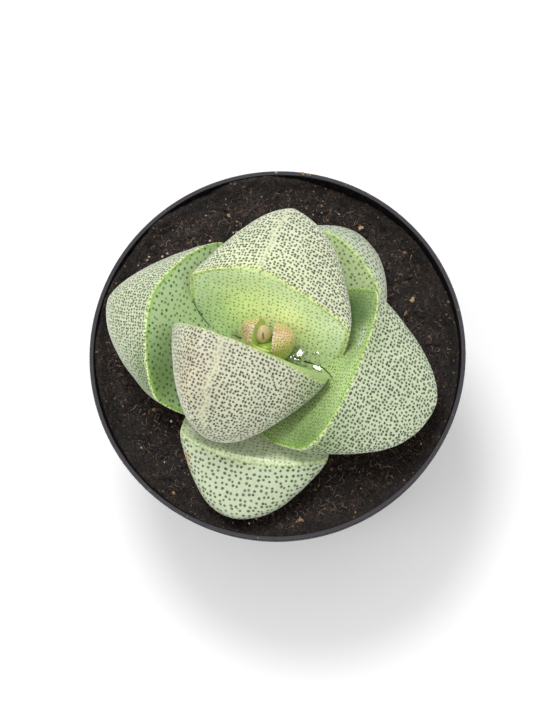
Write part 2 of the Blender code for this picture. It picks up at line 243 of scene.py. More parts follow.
LOOKS = {
    "leaf_inner_back": look(
        back=(204, 209, 180), face=(212, 230, 184), rim=(216, 222, 164), inner=(176, 196, 98),
        back_dots=(0.85, 0.275), face_dots=(1.12, 0.24), face_strength=0.9, dot=(46, 58, 36),
        face_dot=(90, 124, 56), keel=(96, 1.0, 0.6, 0.85), through=0.2,
        patches=(
            # painted glow of light coming through the face
            (-0.9, 270, 11, (232, 250, 168), 0.6),
            # painted shade on the face's duller left part
            (-0.45, 195, 6, (168, 196, 146), 0.7),
            # painted glow of light coming through the face, in this patch and the next
            (-0.6, 338, 7, (240, 255, 180), 1.0),
            (-0.75, 230, 6, (236, 252, 170), 0.8),
            (-0.3, 256, 1.2, (130, 100, 50), 0.6),
        ),
        wet=((-0.26, 45, 2.2), (-0.24, 311, 3.5)),
    ),
    "leaf_inner_front": look(
        back=(198, 201, 174), face=(170, 196, 120), rim=(212, 214, 168), inner=(160, 180, 100),
        back_dots=(0.87, 0.28), face_dots=(0.9, 0.15), face_strength=0.4, dot=(46, 56, 38),
        keel=(105, 1.0, 0.8, 0.85), rim_strength=0.6, rim_width=0.3,
        patches=((0.25, 82, 9, (184, 170, 142), 0.65), (0.12, 165, 6, (144, 168, 104), 0.6),
                 # painted shade on the back's low part near the soil
                 (0.6, 262, 11, (140, 154, 112), 0.8)),
        wet=((0.02, 160, 2.5),), strip=(165, 28, 1.6),
    ),
    "leaf_middle_left": look(
        back=(188, 197, 164), face=(176, 198, 148), rim=(220, 230, 176), inner=(142, 190, 70),
        back_dots=(0.76, 0.245), face_dots=(1.4, 0.32), face_strength=0.95, dot=(52, 64, 40),
        face_dot=(34, 76, 22), rim_width=0.38,
        # painted shade on the face where the leaves beside it shadow it
        patches=((-0.21, 155, 7, (102, 132, 70), 0.8), (-0.1, 167, 6, (102, 132, 70), 0.7),
                 (-0.4, 138, 4, (120, 150, 90), 0.5)),
    ),
    "leaf_middle_right": look(
        back=(196, 206, 174), face=(188, 212, 144), rim=(218, 228, 178), inner=(142, 186, 66),
        back_dots=(0.92, 0.3), face_dots=(0.84, 0.24), face_strength=0.9, dot=(44, 66, 36),
        face_dot=(66, 104, 42), rim_width=0.38,
        # painted shade on parts of the face by the leaves around it, in these five patches
        patches=((-0.12, 10, 9, (104, 136, 66), 0.85), (-0.35, 130, 4.5, (140, 170, 96), 0.5),
                 (-0.2, 186, 6, (92, 122, 68), 0.95), (-0.26, 172, 4, (92, 122, 68), 0.8),
                 # painted highlights on the two wet spots
                 (-0.26, 136, 1.1, (232, 240, 226), 0.9), (-0.3, 128, 1.0, (226, 238, 222), 0.8)),
        wet=((-0.26, 136, 1.8), (-0.32, 128, 1.2)),
    ),
    "leaf_outer_front": look(
        # the face colour is paler than the leaf's own green: painted light on a face shaded by the leaf above
        back=(192, 203, 172), face=(232, 242, 208), rim=(204, 220, 164), inner=(182, 204, 130),
        back_dots=(1.3, 0.345), face_dots=(1.15, 0.28), face_strength=0.75, dot=(66, 84, 50),
        face_dot=(84, 108, 60), purple=0.04, rim_width=0.6, rim_strength=0.5,
        patches=((0.18, 28, 0.9, (224, 164, 96), 0.9), (0.27, 28, 0.9, (224, 164, 96), 0.9),
                 (0.36, 29, 0.8, (224, 164, 96), 0.9)),
    ),
    "leaf_outer_back": look(
        back=(190, 200, 174), face=(196, 214, 160), rim=(210, 222, 166), inner=(160, 192, 92),
        back_dots=(1.15, 0.31), face_dots=(1.3, 0.3), face_strength=0.9, dot=(70, 84, 58),
        face_dot=(58, 88, 44), purple=0.1, rim_width=0.5, rim_strength=0.7,
    ),
    "young_leaf_left": look(
        back=(214, 196, 146), face=(186, 218, 88), rim=(238, 204, 180), inner=(198, 210, 112),
        back_dots=(0.55, 0.15), face_dots=(0.9, 0.1), face_strength=0.1, dot=(112, 90, 56),
        rim_width=0.3, through=0.2,
        patches=((0.6, 270, 4.5, (204, 222, 98), 0.95), (0.3, 30, 3, (206, 214, 108), 0.7),
                 (0.3, 110, 1.6, (176, 140, 104), 0.7)),
    ),
    "young_leaf_right": look(
        back=(214, 204, 140), face=(180, 216, 80), rim=(240, 206, 188), inner=(210, 206, 138),
        back_dots=(0.6, 0.15), face_dots=(0.9, 0.1), face_strength=0.1, dot=(140, 96, 54),
        rim_width=0.3, through=0.2,
        patches=((0.6, 270, 5, (200, 222, 92), 1.0), (0.3, 200, 4, (208, 220, 100), 0.7),
                 (0.0, 90, 0.9, (204, 78, 80), 1.0), (0.3, 90, 2.2, (192, 150, 112), 0.6)),
    ),
}


# Numbers and meshes


def smooth(low, high, value):
    """0 below low, 1 above high, and an S curve between."""
    share = np.clip((value - low) / (high - low), 0, 1)
    return share * share * (3 - 2 * share)


def bell(distance, width):
    return np.exp(-((distance / width) ** 2))


def mix(first, second, share):
    """The two colours or fields blended by share, which gets a last axis for colours."""
    share = np.asarray(share)[..., None] if np.ndim(second) and np.shape(second)[-1] == 3 else share
    return first * (1 - share) + np.asarray(second) * share


def lattice(ix, iy, seed):
    """A fixed pseudo-random number from 0 to 1 for each whole lattice point: the fractional
    part of a large sine of the point's indices."""
    value = np.sin(ix * 127.1 + iy * 311.7 + seed * 74.7) * 43758.5453
    return value - np.floor(value)


def value_noise(x, y, size, seed):
    """Noise from -1 to 1: random lattice values, size apart, blended by S curves."""
    u, v = x / size, y / size
    iu, iv = np.floor(u), np.floor(v)
    fu, fv = smooth(0, 1, u - iu), smooth(0, 1, v - iv)
    near = lattice(iu, iv, seed) * (1 - fu) + lattice(iu + 1, iv, seed) * fu
    far = lattice(iu, iv + 1, seed) * (1 - fu) + lattice(iu + 1, iv + 1, seed) * fu
    return 2 * (near * (1 - fv) + far * fv) - 1


def pebbles(x, y, size, seed):
    """Round bumps from 0 to 1: each lattice cell has one jittered centre, with a random
    radius, and a point's height is that of the highest dome over it."""
    u, v = x / size, y / size
    iu, iv = np.floor(u), np.floor(v)
    best = np.zeros_like(u)
    for du in (-1, 0, 1):
        for dv in (-1, 0, 1):
            cu, cv = iu + du, iv + dv
            px = cu + lattice(cu, cv, seed)
            py = cv + lattice(cu, cv, seed + 1)
            radius = 0.35 + 0.5 * lattice(cu, cv, seed + 2)
            reach = ((u - px) ** 2 + (v - py) ** 2) / radius**2
            best = np.maximum(best, radius * np.sqrt(np.clip(1 - reach, 0, 1)))
    return best


def skin_faces(rings, steps):
    """Faces of a closed skin. Point 0 and the last point are its poles, with rings of steps
    points between them, anticlockwise seen from outside the first pole."""
    k = np.arange(steps)
    j = (k + 1) % steps
    near = 1 + steps * np.arange(rings - 1)[:, None]
    quads = np.stack([near + k, near + steps + k, near + steps + j, near + j], -1).reshape(-1, 4)
    start = 1 + steps * (rings - 1)
    first = np.stack([0 * k, 1 + k, 1 + j], -1)
    last = np.stack([start + k, 0 * k + start + steps, start + j], -1)
    return quads, np.concatenate([first, last])


def skin_corners(rings, steps):
    """Ring, step and home step of each corner of a closed skin's faces, in the faces' order.
    A face's home is the step it starts from."""
    k = np.arange(steps)
    j = (k + 1) % steps
    ring = np.arange(1, rings)[:, None] + 0 * k
    rows = [np.stack([ring, ring + 1, ring + 1, ring], -1), np.stack([0 * k, 0 * k + 1, 0 * k + 1], -1),
            np.stack([0 * k, 0 * k + 1, 0 * k], -1) + rings]
    turn = np.stack([k, k, j, j], -1) + np.zeros((rings - 1, 1, 1), int)
    columns = [turn, np.stack([k, k, j], -1), np.stack([k, k, j], -1)]
    homes = [np.zeros((rings - 1, steps, 4), int) + k[:, None]] + [np.zeros((steps, 3), int) + k[:, None]] * 2
    return [np.concatenate([part.ravel() for part in parts]) for parts in (rows, columns, homes)]


def closed_skin(grid):
    """Points of a closed skin from a grid of rings whose first and last rings are single
    places: those two rings shrink to one point each."""
    return np.concatenate([grid[:1, 0], grid[1:-1].reshape(-1, grid.shape[-1]), grid[-1:, 0]])


def add_piece(name, points, faces, finish, stands_for=(), sharp=40):
    """A mesh object from an array of points and arrays of faces of one size each."""
    corners = np.concatenate([f.ravel() for f in faces]).astype(np.int32)
    sizes = np.concatenate([np.full(len(f), f.shape[1]) for f in faces])
    mesh = bpy.data.meshes.new(name)
    mesh.vertices.add(len(points))
    mesh.vertices.foreach_set("co", np.asarray(points, np.float32).ravel())
    mesh.loops.add(len(corners))
    mesh.loops.foreach_set("vertex_index", corners)
    mesh.polygons.add(len(sizes))
    mesh.polygons.foreach_set("loop_start", (np.cumsum(sizes) - sizes).astype(np.int32))
    mesh.update(calc_edges=True)
    mesh.validate()
    mesh.shade_smooth()
    if sharp:
        mesh.set_sharp_from_angle(angle=radians(sharp))
    mesh.materials.append(finish)
    piece = bpy.data.objects.new(name, mesh)
    bpy.context.scene.collection.objects.link(piece)
    if stands_for:
        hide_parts(*stands_for)
    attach(piece, BODY)
    return piece


def set_numbers(piece, name, values):
    attribute = piece.data.attributes.new(name, "FLOAT", "POINT")
    attribute.data.foreach_set("value", np.asarray(values, np.float32).ravel())


def set_vectors(piece, name, values, domain="POINT"):
    attribute = piece.data.attributes.new(name, "FLOAT_VECTOR", domain)
    attribute.data.foreach_set("vector", np.asarray(values, np.float32).ravel())


def set_colours(piece, name, values):
    attribute = piece.data.color_attributes.new(name, "FLOAT_COLOR", "POINT")
    full = np.concatenate([values, np.ones((len(values), 1))], 1)
    attribute.data.foreach_set("color", full.astype(np.float32).ravel())


# Materials


def start_finish(name, **sockets):
    """A new material whose Principled sockets are set to the given values."""
    finish = bpy.data.materials.new(name)
    finish.use_nodes = True
    tree = finish.node_tree
    shader = tree.nodes["Principled BSDF"]
    for socket, value in sockets.items():
        shader.inputs[socket.replace("_", " ")].default_value = value
    return finish, tree, shader


def node(tree, kind, inputs=None, **settings):
    """A node with its settings and inputs; an input that is a socket gets linked."""
    made = tree.nodes.new("ShaderNode" + kind)
    for key, value in settings.items():
        setattr(made, key, value)
    for key, value in (inputs or {}).items():
        if isinstance(value, bpy.types.NodeSocket):
            tree.links.new(value, made.inputs[key])
        else:
            made.inputs[key].default_value = value
    return made


def maths(tree, operation, first, second=0.0, clamp=False):
    return node(tree, "Math", {0: first, 1: second}, operation=operation, use_clamp=clamp).outputs[0]


def ramp(tree, value, low, high, start=0.0, end=1.0):
    """An S curve from start at low to end at high."""
    made = node(
        tree,
        "MapRange",
        {"Value": value, "From Min": low, "From Max": high, "To Min": start, "To Max": end},
        interpolation_type="SMOOTHSTEP",
    )
    return made.outputs["Result"]


def blend(tree, share, first, second, mode="MIX"):
    """Two colours blended by share, each a socket or a display-independent colour."""
    made = node(tree, "Mix", data_type="RGBA", blend_type=mode)
    for key, value in ((0, share), (6, first), (7, second)):
        if isinstance(value, bpy.types.NodeSocket):
            tree.links.new(value, made.inputs[key])
        elif key == 0:
            made.inputs[key].default_value = value
        else:
            made.inputs[key].default_value = (*value[:3], 1.0)
    return made.outputs[2]


def attribute(tree, name, output):
    return node(tree, "Attribute", attribute_name=name).outputs[output]


def object_place(tree):
    return node(tree, "TexCoord").outputs["Object"]


def noise(tree, place, per_metre, detail=2.0, output="Fac"):
    made = node(tree, "TexNoise", {"Vector": place, "Scale": per_metre, "Detail": detail})
    return made.outputs[output]


def warp_of(tree, place, spacing):
    """A small smooth shift of the dots, so that they keep to no rows."""
    cloud = noise(tree, place, 0.22 / spacing, 1.0, "Color")
    shift = node(tree, "VectorMath", {0: cloud, 1: (0.5, 0.5, 0.5)}, operation="SUBTRACT")
    return node(tree, "VectorMath", {0: shift.outputs[0], "Scale": 0.9 * spacing}, operation="SCALE").outputs[0]


def dots(tree, place, stretch, shift, spacing, radius, jitter=0.56, variety=0.25):
    """Round soft dots on a flat map in metres, one in each jittered cell. A dot's distance
    is measured on the skin itself, by the map's stretch: the squares and the product of the
    two map lengths, each times its own share. A dot counts only if its middle lies within
    the map's half width, the third number of the place. Returns the dots' share and two
    random numbers of the nearest dot."""
    moved = node(tree, "VectorMath", {0: place, 1: shift}, operation="ADD").outputs[0]
    cells = node(
        tree,
        "TexVoronoi",
        {"Vector": moved, "Scale": 1 / spacing, "Randomness": jitter},
        voronoi_dimensions="2D",
        feature="F1",
    )
    chance = node(tree, "SeparateColor", {0: cells.outputs["Color"]})
    away = node(tree, "VectorMath", {0: moved, 1: cells.outputs["Position"]}, operation="SUBTRACT")
    parts = node(tree, "SeparateXYZ", {0: away.outputs[0]})
    home = node(tree, "SeparateXYZ", {0: place})
    u, v = parts.outputs[0], parts.outputs[1]
    squares = node(
        tree,
        "CombineXYZ",
        {0: maths(tree, "MULTIPLY", u, u), 1: maths(tree, "MULTIPLY", u, v), 2: maths(tree, "MULTIPLY", v, v)},
    )
    total = node(tree, "VectorMath", {0: squares.outputs[0], 1: stretch}, operation="DOT_PRODUCT")
    distance = maths(tree, "SQRT", maths(tree, "MAXIMUM", total.outputs["Value"], 0.0))
    size = ramp(tree, chance.outputs[0], 0.0, 1.0, radius * (1 - variety / 2), radius * (1 + variety / 2))
    outer = maths(tree, "MULTIPLY", size, 1.35)
    inner = maths(tree, "MULTIPLY", size, 0.6)
    middle = maths(tree, "ABSOLUTE", maths(tree, "SUBTRACT", home.outputs[0], u))
    within = maths(tree, "LESS_THAN", middle, home.outputs[2])
    share = maths(tree, "MULTIPLY", ramp(tree, distance, outer, inner), within)
    return share, chance.outputs[1], chance.outputs[2]


def leaf_finish(name, style):
    """Waxy leaf skin. The base colour comes from the colours stored on the skin, painted glow,
    shade and highlights among them, a little mottled; dots lie along the skin's flat map, finer
    ones on the face, and a dense row on the margin."""
    finish, tree, shader = start_finish(
        name,
        Roughness=0.55,
        IOR=1.42,
        Subsurface_Weight=style["through"],
        Subsurface_Scale=0.002,
        Sheen_Weight=0.4,
        Sheen_Roughness=0.35,
    )
    shader.inputs["Subsurface Radius"].default_value = (0.8, 1.0, 0.4)
    place = object_place(tree)
    skin = attribute(tree, "skin_map", "Vector")
    stretch = attribute(tree, "skin_stretch", "Vector")
    colour = attribute(tree, "skin_colour", "Color")
    back_share = attribute(tree, "back_dots", "Fac")
    face_share = attribute(tree, "face_dots", "Fac")
    rim_share = attribute(tree, "rim_dots", "Fac")
    mottle = ramp(tree, noise(tree, place, 2600.0, 3.0), 0.3, 0.7, 0.92, 1.06)
    cloud = ramp(tree, noise(tree, place, 140.0, 2.0), 0.3, 0.7, 0.95, 1.04)
    grain = maths(tree, "MULTIPLY", mottle, cloud)
    colour = blend(tree, 1.0, colour, node(tree, "CombineColor", {0: grain, 1: grain, 2: grain}).outputs[0], "MULTIPLY")
    side, side_stretch = attribute(tree, "side_map", "Vector"), attribute(tree, "side_stretch", "Vector")
    shift = warp_of(tree, place, style["back_dots"][0])
    back, back_chance, back_tone = dots(tree, skin, stretch, shift, *style["back_dots"])
    over, over_chance, over_tone = dots(tree, side, side_stretch, shift, *style["back_dots"])
    face_shift = warp_of(tree, place, style["face_dots"][0])
    face, face_chance, face_tone = dots(tree, skin, stretch, face_shift, *style["face_dots"])
    strength = ramp(tree, back_tone, 0.0, 1.0, 0.85, 1.0)
    back = maths(tree, "MAXIMUM", maths(tree, "MULTIPLY", back, strength), maths(tree, "MULTIPLY", over, 0.9))
    back = maths(tree, "MULTIPLY", back, back_share)
    face = maths(tree, "MULTIPLY", maths(tree, "MULTIPLY", face, face_share), ramp(tree, face_tone, 0.0, 1.0, 0.6, 1.0))
    along = attribute(tree, "margin_map", "Vector")
    rim, rim_chance, rim_tone = dots(tree, along, (1.0, 0.0, 1.0), (0.0, 0.0, 0.0), 0.8 * MM, 0.24 * MM)
    rim = maths(tree, "MULTIPLY", rim, rim_share)
    purple = maths(tree, "LESS_THAN", back_chance, style["purple"])
    dot_colour = blend(tree, purple, style["dot"], rgb(76, 52, 84))
    colour = blend(tree, face, colour, style["face_dot"])
    colour = blend(tree, back, colour, dot_colour)
    colour = blend(tree, maths(tree, "MULTIPLY", rim, 0.85), colour, rgb(76, 104, 32))
    tree.links.new(colour, shader.inputs["Base Color"])
    wet = attribute(tree, "wet", "Fac")
    tree.links.new(ramp(tree, wet, 0.0, 1.0, 0.55, 0.12), shader.inputs["Roughness"])
    relief = maths(tree, "SUBTRACT", maths(tree, "MULTIPLY", noise(tree, place, 700.0, 2.0), 0.5),
                   maths(tree, "MULTIPLY", back, 0.6))
    bump = node(tree, "Bump", {"Height": relief, "Strength": 0.25, "Distance": 0.00012})
    tree.links.new(bump.outputs[0], shader.inputs["Normal"])
    return finish


# Leaves


def turned_axes(heading, lean, roll):
    """Rows: the directions across the leaf, along it and out of its face. It points to the
    heading round Z, leans up from level, and rolls about its own length."""
    h, e, g = radians(heading), radians(lean), radians(roll)
    along = np.array([np.cos(h) * np.cos(e), np.sin(h) * np.cos(e), np.sin(e)])
    out = np.array([-np.cos(h) * np.sin(e), -np.sin(h) * np.sin(e), np.cos(e)])
    across = np.cross(along, out)
    return np.stack([across * np.cos(g) + out * np.sin(g), along, out * np.cos(g) - across * np.sin(g)])


def margin(theta, form):
    """The face's outline: a superellipse whose half widths and lengths differ on its four
    sides, and whose power changes smoothly from the blunt base to the sharper tip."""
    c = np.cos(theta)
    s = np.sin(theta)
    a = np.where(c >= 0, form["right"], form["left"])
    b = np.where(s >= 0, form["tip"], form["base"])
    blend_share = 0.5 + 0.5 * np.tanh(s / POWER_BLEND)
    power = BASE_POWER + (form["point"] - BASE_POWER) * blend_share
    return a * np.sign(c) * np.abs(c) ** (2 / power), b * np.sign(s) * np.abs(s) ** (2 / power)


def soft_step(t, width):
    """t where it is positive and 0 where it is negative, with the corner rounded over the
    width, and 1 at 1."""
    return np.logaddexp(0, t / width) / np.logaddexp(0, 1 / width)


def leaf_point(t, theta, form):
    """A point of the leaf's skin in its own axes. t runs from -1 at the middle of the face
    over 0 at the margin to 1 at the deepest point of the back, theta round the leaf.
    The face is the outline shrunk towards its middle, with a shallow dish. The back is the
    outline swept along a superellipse arc down to its pole, with a bulge at tip and base.
    A twist turns the base half about the widest line, more the further out to the side."""
    x0, y0 = margin(theta, form)
    inward = 1 - np.clip(soft_step(-t, form["soft"]), 0, 1)
    psi = np.clip(soft_step(t, form["soft"]), 0, 1) * pi / 2
    tipward = np.clip(np.sin(theta), 0, 1) ** 2
    baseward = np.clip(-np.sin(theta), 0, 1) ** 2
    power = form["side"] * (1 - tipward - baseward) + form["ridge"] * tipward + BACK_POWER_BASE * baseward
    power = 2 + (power - 2) * (1 - (psi / (pi / 2)) ** 3)
    shrink = np.cos(psi) ** (2 / power)
    swell = np.sin(2 * psi)
    bulge = form["chin"] * tipward**0.75 - form["heel"] * baseward**0.75
    x = x0 * (inward + shrink - 1) + form["pole"][0] * (1 - shrink)
    y = y0 * (inward + shrink - 1) + form["pole"][1] * (1 - shrink) + swell * bulge + form["base"]
    z = -form["dish"] * (1 - inward**2) ** 2 - form["depth"] * np.sin(psi) ** (2 / power)
    beyond = y - form["base"]
    z = z + form["twist"] * x * (beyond - np.sqrt(beyond**2 + TWIST_ROUND**2)) / 2
    return np.stack([x, y, z], -1)


def placed(t, theta, form):
    return leaf_point(t, theta, form) @ turned_axes(*form["turn"]) + np.array(form["foot"])


def gore_maps(local, edge):
    """Flat maps of a leaf's back, one for each gore between margin and pole. A gore's first
    length runs along the ring from the gore's middle, its second one along the meridian from
    the margin. Also returns how the skin's lengths follow from the map's: for a small step
    (u, v) on the map the skin's length squared is E uu + F uv + G vv, where E, F and G come
    from the differences of the points and of the map along and across the rings. The third
    field is each gore's half width."""
    side = np.linalg.norm(np.roll(local, -1, 1) - local, axis=-1)
    reach = np.cumsum(side, 1) - side
    whole = np.maximum(side.sum(1), 1e-9)[:, None]
    ends = np.concatenate([reach, whole], 1)[:, :: local.shape[1] // GORES]
    middle, half = (ends[:, 1:] + ends[:, :-1]) / 2, (ends[:, 1:] - ends[:, :-1]) / 2
    along = (reach - middle.T[:, :, None] + whole / 2) % whole - whole / 2
    flat = np.stack([along, edge + np.zeros(along.shape)], -1)
    down, down_flat = np.gradient(local, axis=0), np.gradient(flat, axis=1)
    turn = (np.roll(local, -1, 1) - np.roll(local, 1, 1)) / 2
    turn_flat = np.stack([(side + np.roll(side, 1, 1)) / 2, (np.roll(edge, -1, 1) - np.roll(edge, 1, 1)) / 2], -1)
    area = down_flat[..., 0] * turn_flat[..., 1] - down_flat[..., 1] * turn_flat[..., 0]
    area = np.where(np.abs(area) < 1e-15, -1e-15, area)[..., None]
    by_u = (down * turn_flat[..., 1:] - turn * down_flat[..., 1:]) / area
    by_v = (turn * down_flat[..., :1] - down * turn_flat[..., :1]) / area
    stretch = np.stack([(by_u**2).sum(-1), 2 * (by_u * by_v).sum(-1), (by_v**2).sum(-1)], -1)
    return flat, np.clip(stretch, -9, 9), half.T


def set_gores(piece, local, edge, margin_row):
    """Stores the flat maps at the corners of the faces: that of a face's own gore and, as
    dots reach over a gore's end, that of the gore beside it. The flat face has one map, its
    own two lengths."""
    count, steps = local.shape[:2]
    flat, stretch, half = gore_maps(local[margin_row:], edge[margin_row:])
    row, column, home = skin_corners(count - 2, steps)
    width = steps // GORES
    own = home // width
    beside = (own + np.where(home % width < width / 2, -1, 1)) % GORES
    quads = (count - 3) * steps
    lower = np.concatenate([np.repeat(row[: 4 * quads : 4], 4), np.zeros(3 * steps, int), np.full(3 * steps, count)])
    on_face = (lower < margin_row)[:, None]
    back_row = np.clip(row - margin_row, 0, len(edge) - margin_row - 1)
    plain = local[row, column] * (1, 1, 0) + (0.3, 0.3, 10.0)
    for name, gore, face_map in (("skin", own, plain), ("side", beside, plain - (0, 0, 20.0))):
        mapped = np.concatenate([flat[gore, back_row, column], half[gore, back_row][:, None]], -1)
        set_vectors(piece, name + "_map", np.where(on_face, face_map, mapped), "CORNER")
        bent = np.where(on_face, (1.0, 0.0, 1.0), stretch[gore, back_row, column])
        set_vectors(piece, name + "_stretch", bent, "CORNER")


def ripple(points, seed, height, lengths):
    """A faint unevenness: the mean of plane sine waves of random directions and phases."""
    rng = np.random.RandomState(seed)
    total = np.zeros(points.shape[:-1])
    waves = 9
    for length in np.geomspace(*lengths, waves):
        direction = rng.normal(size=3)
        direction /= np.linalg.norm(direction)
        total += np.sin(2 * pi * (points @ direction) / length + rng.uniform(0, 2 * pi))
    return height * total / waves**0.5


def normals_of(grid):
    """Outward directions of a skin given as rings, by the cross product of its steps."""
    around = np.roll(grid, -1, axis=1) - np.roll(grid, 1, axis=1)
    down = np.gradient(grid, axis=0)
    cross = np.cross(down, around)
    size = np.linalg.norm(cross, axis=-1, keepdims=True)
    return cross / np.maximum(size, 1e-12)


def leaf_rows(face_rings, back_rings):
    """Run of each ring, from -1 over 0 to 1, closest together at the margin."""
    face = -(np.linspace(1, 0, face_rings + 1)[:-1] ** 1.8)
    back = np.linspace(0, 1, back_rings + 1) ** 1.4
    return np.concatenate([face, back])


def skin_colours(grid, t, theta, edge, form, style):
    """Colour of each point: back or face colour, the margin's line and the patches laid over
    it, tints of its own colour and painted glow, shade and highlights, each fading with distance."""
    back_share = smooth(-0.2 * MM, 0.2 * MM, edge)
    colour = mix(np.array(style["face"])[None, None, :] * np.ones(grid.shape), style["back"], back_share)
    # the patches are tints of the leaf's own colour and painted glow, painted shade and painted highlights
    for run, angle, radius, tint, strength in style["patches"]:
        centre = placed(np.array(run), np.array(radians(angle)), form)
        distance = np.linalg.norm(grid - centre, axis=-1)
        colour = mix(colour, rgb(*tint), strength * bell(distance, radius * MM))
    width = style["rim_width"]
    inner = style["rim_strength"] * bell(edge + RIM_IN, width * 1.5)
    colour = mix(colour, style["inner"], 0.75 * inner)
    return mix(colour, style["rim"], style["rim_strength"] * bell(edge - RIM_OUT, width))


def wet_share(grid, form, style):
    """1 in the middle of each wet patch, fading out with distance."""
    total = np.zeros(grid.shape[:-1])
    for run, angle, radius in style["wet"]:
        centre = placed(np.array(run), np.array(radians(angle)), form)
        total = np.maximum(total, bell(np.linalg.norm(grid - centre, axis=-1), radius * MM))
    return total


def keel_share(t, theta, local, style):
    """1 on the keel's line, a meridian of the back, fading across it and along its reach."""
    if not style["keel"]:
        return np.zeros(t.shape)
    angle, reach, width, strength = style["keel"]
    column = np.argmin(np.abs(theta[0] - radians(angle)))
    across = np.linalg.norm(local - local[:, column : column + 1], axis=-1)
    wander = 0.35 * MM * np.sin(t * 23) + 0.25 * MM * np.sin(t * 51 + 1)
    side = np.sign(theta - theta[:, column : column + 1])
    along = smooth(reach, reach * 0.6, np.clip(t, 0, 1))
    return strength * bell(across * side + wander, width * MM) * along * (t >= 0)


def build_leaf(name, form, style, counts, steps):
    rows = leaf_rows(*counts)
    around = -pi / 2 + 2 * pi * np.arange(steps) / steps
    t, theta = np.meshgrid(rows, around, indexing="ij")
    grid = placed(t, theta, form)
    grid += normals_of(grid) * ripple(grid, 3, 0.05 * MM, (5 * MM, 16 * MM))[..., None]
    grid[0] = grid[0].mean(0)
    grid[-1] = grid[-1].mean(0)
    local = leaf_point(t, theta, form)
    steps_down = np.linalg.norm(np.diff(local, axis=0), axis=-1)
    run = np.concatenate([np.zeros((1, steps)), np.cumsum(steps_down, 0)])
    true_edge = edge = run - run[counts[0]]
    if style["strip"]:
        angle, half, reach = style["strip"]
        edge = edge - reach * MM * bell(np.degrees(theta) - angle, half) * (1 - smooth(0, -2 * MM, edge))
    side = np.linalg.norm(np.roll(local[counts[0]], -1, 0) - local[counts[0]], axis=-1)
    along = (np.cumsum(side) - side)[None] * np.ones(t.shape)
    keel = keel_share(t, theta, local, style)
    colour = skin_colours(grid, t, theta, edge, form, style)
    colour = mix(colour, rgb(204, 208, 172), 0.6 * keel)
    rim_near = style["rim_strength"] * bell(edge, style["rim_width"] * 1.8)
    back_dots = smooth(0.1 * MM, 0.5 * MM, edge) * (1 - 0.85 * keel)
    face_dots = smooth(-0.1 * MM, -0.5 * MM, edge) * style["face_strength"]
    finish = leaf_finish(name + "_skin", style)
    piece = add_piece(name + "_fine", closed_skin(grid), skin_faces(len(rows) - 2, steps), finish,
                      (name,), sharp=0)
    zero = np.zeros(t.shape)
    set_gores(piece, local, true_edge, counts[0])
    set_vectors(piece, "margin_map", closed_skin(np.stack([along, 0.7 * edge, zero + 10], -1)))
    set_colours(piece, "skin_colour", closed_skin(colour))
    for key, field in (("back_dots", back_dots), ("face_dots", face_dots), ("rim_dots", rim_near),
                       ("wet", wet_share(grid, form, style))):
        set_numbers(piece, key, closed_skin(field[..., None]))
    return piece


def build_bud():
    """An egg on a tapered foot: its radius is a raised sine of the share of its length, with
    a shallow slit pressed into its top."""
    rows = np.linspace(0, 1, 60)
    around = 2 * pi * np.arange(64) / 64
    along, angle = np.meshgrid(rows, around, indexing="ij")
    radius = BUD_RADIUS * np.sin(pi * along**BUD_RISE).clip(0) ** BUD_FILL
    across = radius * np.cos(angle)
    out = radius * np.sin(angle)
    slit = bell(across - 0.3 * MM, 0.2 * MM) * smooth(0.66, 0.74, along) * smooth(0.94, 0.86, along) * (out > 0)
    local = np.stack([across, BUD_LENGTH * along, out - 0.35 * MM * slit], -1)
    grid = local @ turned_axes(*BUD_TURN, 0.0) + np.array(BUD_FOOT)
    finish, tree, shader = start_finish("bud_skin_fine", Roughness=0.5, Subsurface_Weight=0.15,
                                        Subsurface_Scale=0.001)
    place = object_place(tree)
    colour = attribute(tree, "skin_colour", "Color")
    speck = ramp(tree, noise(tree, place, 3200.0), 0.55, 0.75)
    colour = blend(tree, maths(tree, "MULTIPLY", speck, 0.5), colour, rgb(176, 132, 92))
    tree.links.new(colour, shader.inputs["Base Color"])
    base = mix(np.array(rgb(226, 200, 168))[None, None] * np.ones(grid.shape), rgb(196, 216, 90),
               smooth(0.6, 0.3, along))
    base = mix(base, rgb(130, 58, 36), slit)
    piece = add_piece("bud_fine", closed_skin(grid), skin_faces(len(rows) - 2, 64), finish,
                      ("bud",), sharp=0)
    set_colours(piece, "skin_colour", closed_skin(base))
    return piece


HEART_PLACE = (-2.0 * MM, -1.2 * MM, 78.6 * MM)
HEART_SIZE = (3.0 * MM, 2.2 * MM, 3.5 * MM)
SEAMS = (
    # name, places in mm, radius in mm and display colour of each line
    # a dark brown line along the fissure
    ("fissure_dark_line", ((6.6, -3.5, 76.9), (7.6, -3.8, 77.2), (8.4, -4.0, 77.4), (9.1, -4.3, 77.5)), 0.24, (62, 38, 24)),
    # painted shade in the crease between the inner front leaf's corner and the leaf beside it
    ("right_shade_line", ((8.8, -4.2, 77.5), (9.8, -4.6, 77.8), (11.0, -5.3, 79.2), (12.0, -6.4, 80.5), (12.8, -7.4, 81.7),
                    (13.5, -8.5, 82.9), (13.8, -9.6, 83.7)), 0.14, (86, 84, 44)),
    ("left_seam", ((-9.8, 3.3, 75.5), (-8.6, 2.6, 75.5), (-8.0, 2.2, 75.9)), 0.16, (92, 58, 32)),
    # painted shade in the crease where the inner back leaf's face meets the leaf beside it
    ("crease_shade_line", ((-19.1, 11.2, 80.9), (-18.9, 10.2, 80.0), (-18.7, 9.5, 79.45), (-17.9, 8.1, 78.45),
                   (-17.2, 7.2, 77.75), (-16.4, 6.3, 76.95), (-15.5, 5.4, 76.15), (-15.1, 5.0, 75.75)),
     0.14, (84, 112, 58)),
    ("young_rim", ((-5.0, -0.6, 85.9), (-4.8, -1.1, 84.6), (-4.0, -1.5, 83.7), (-2.95, -1.9, 83.4), (-1.7, -2.3, 83.7),
                   (-0.7, -2.7, 84.6)), 0.36, (206, 218, 118)),
)


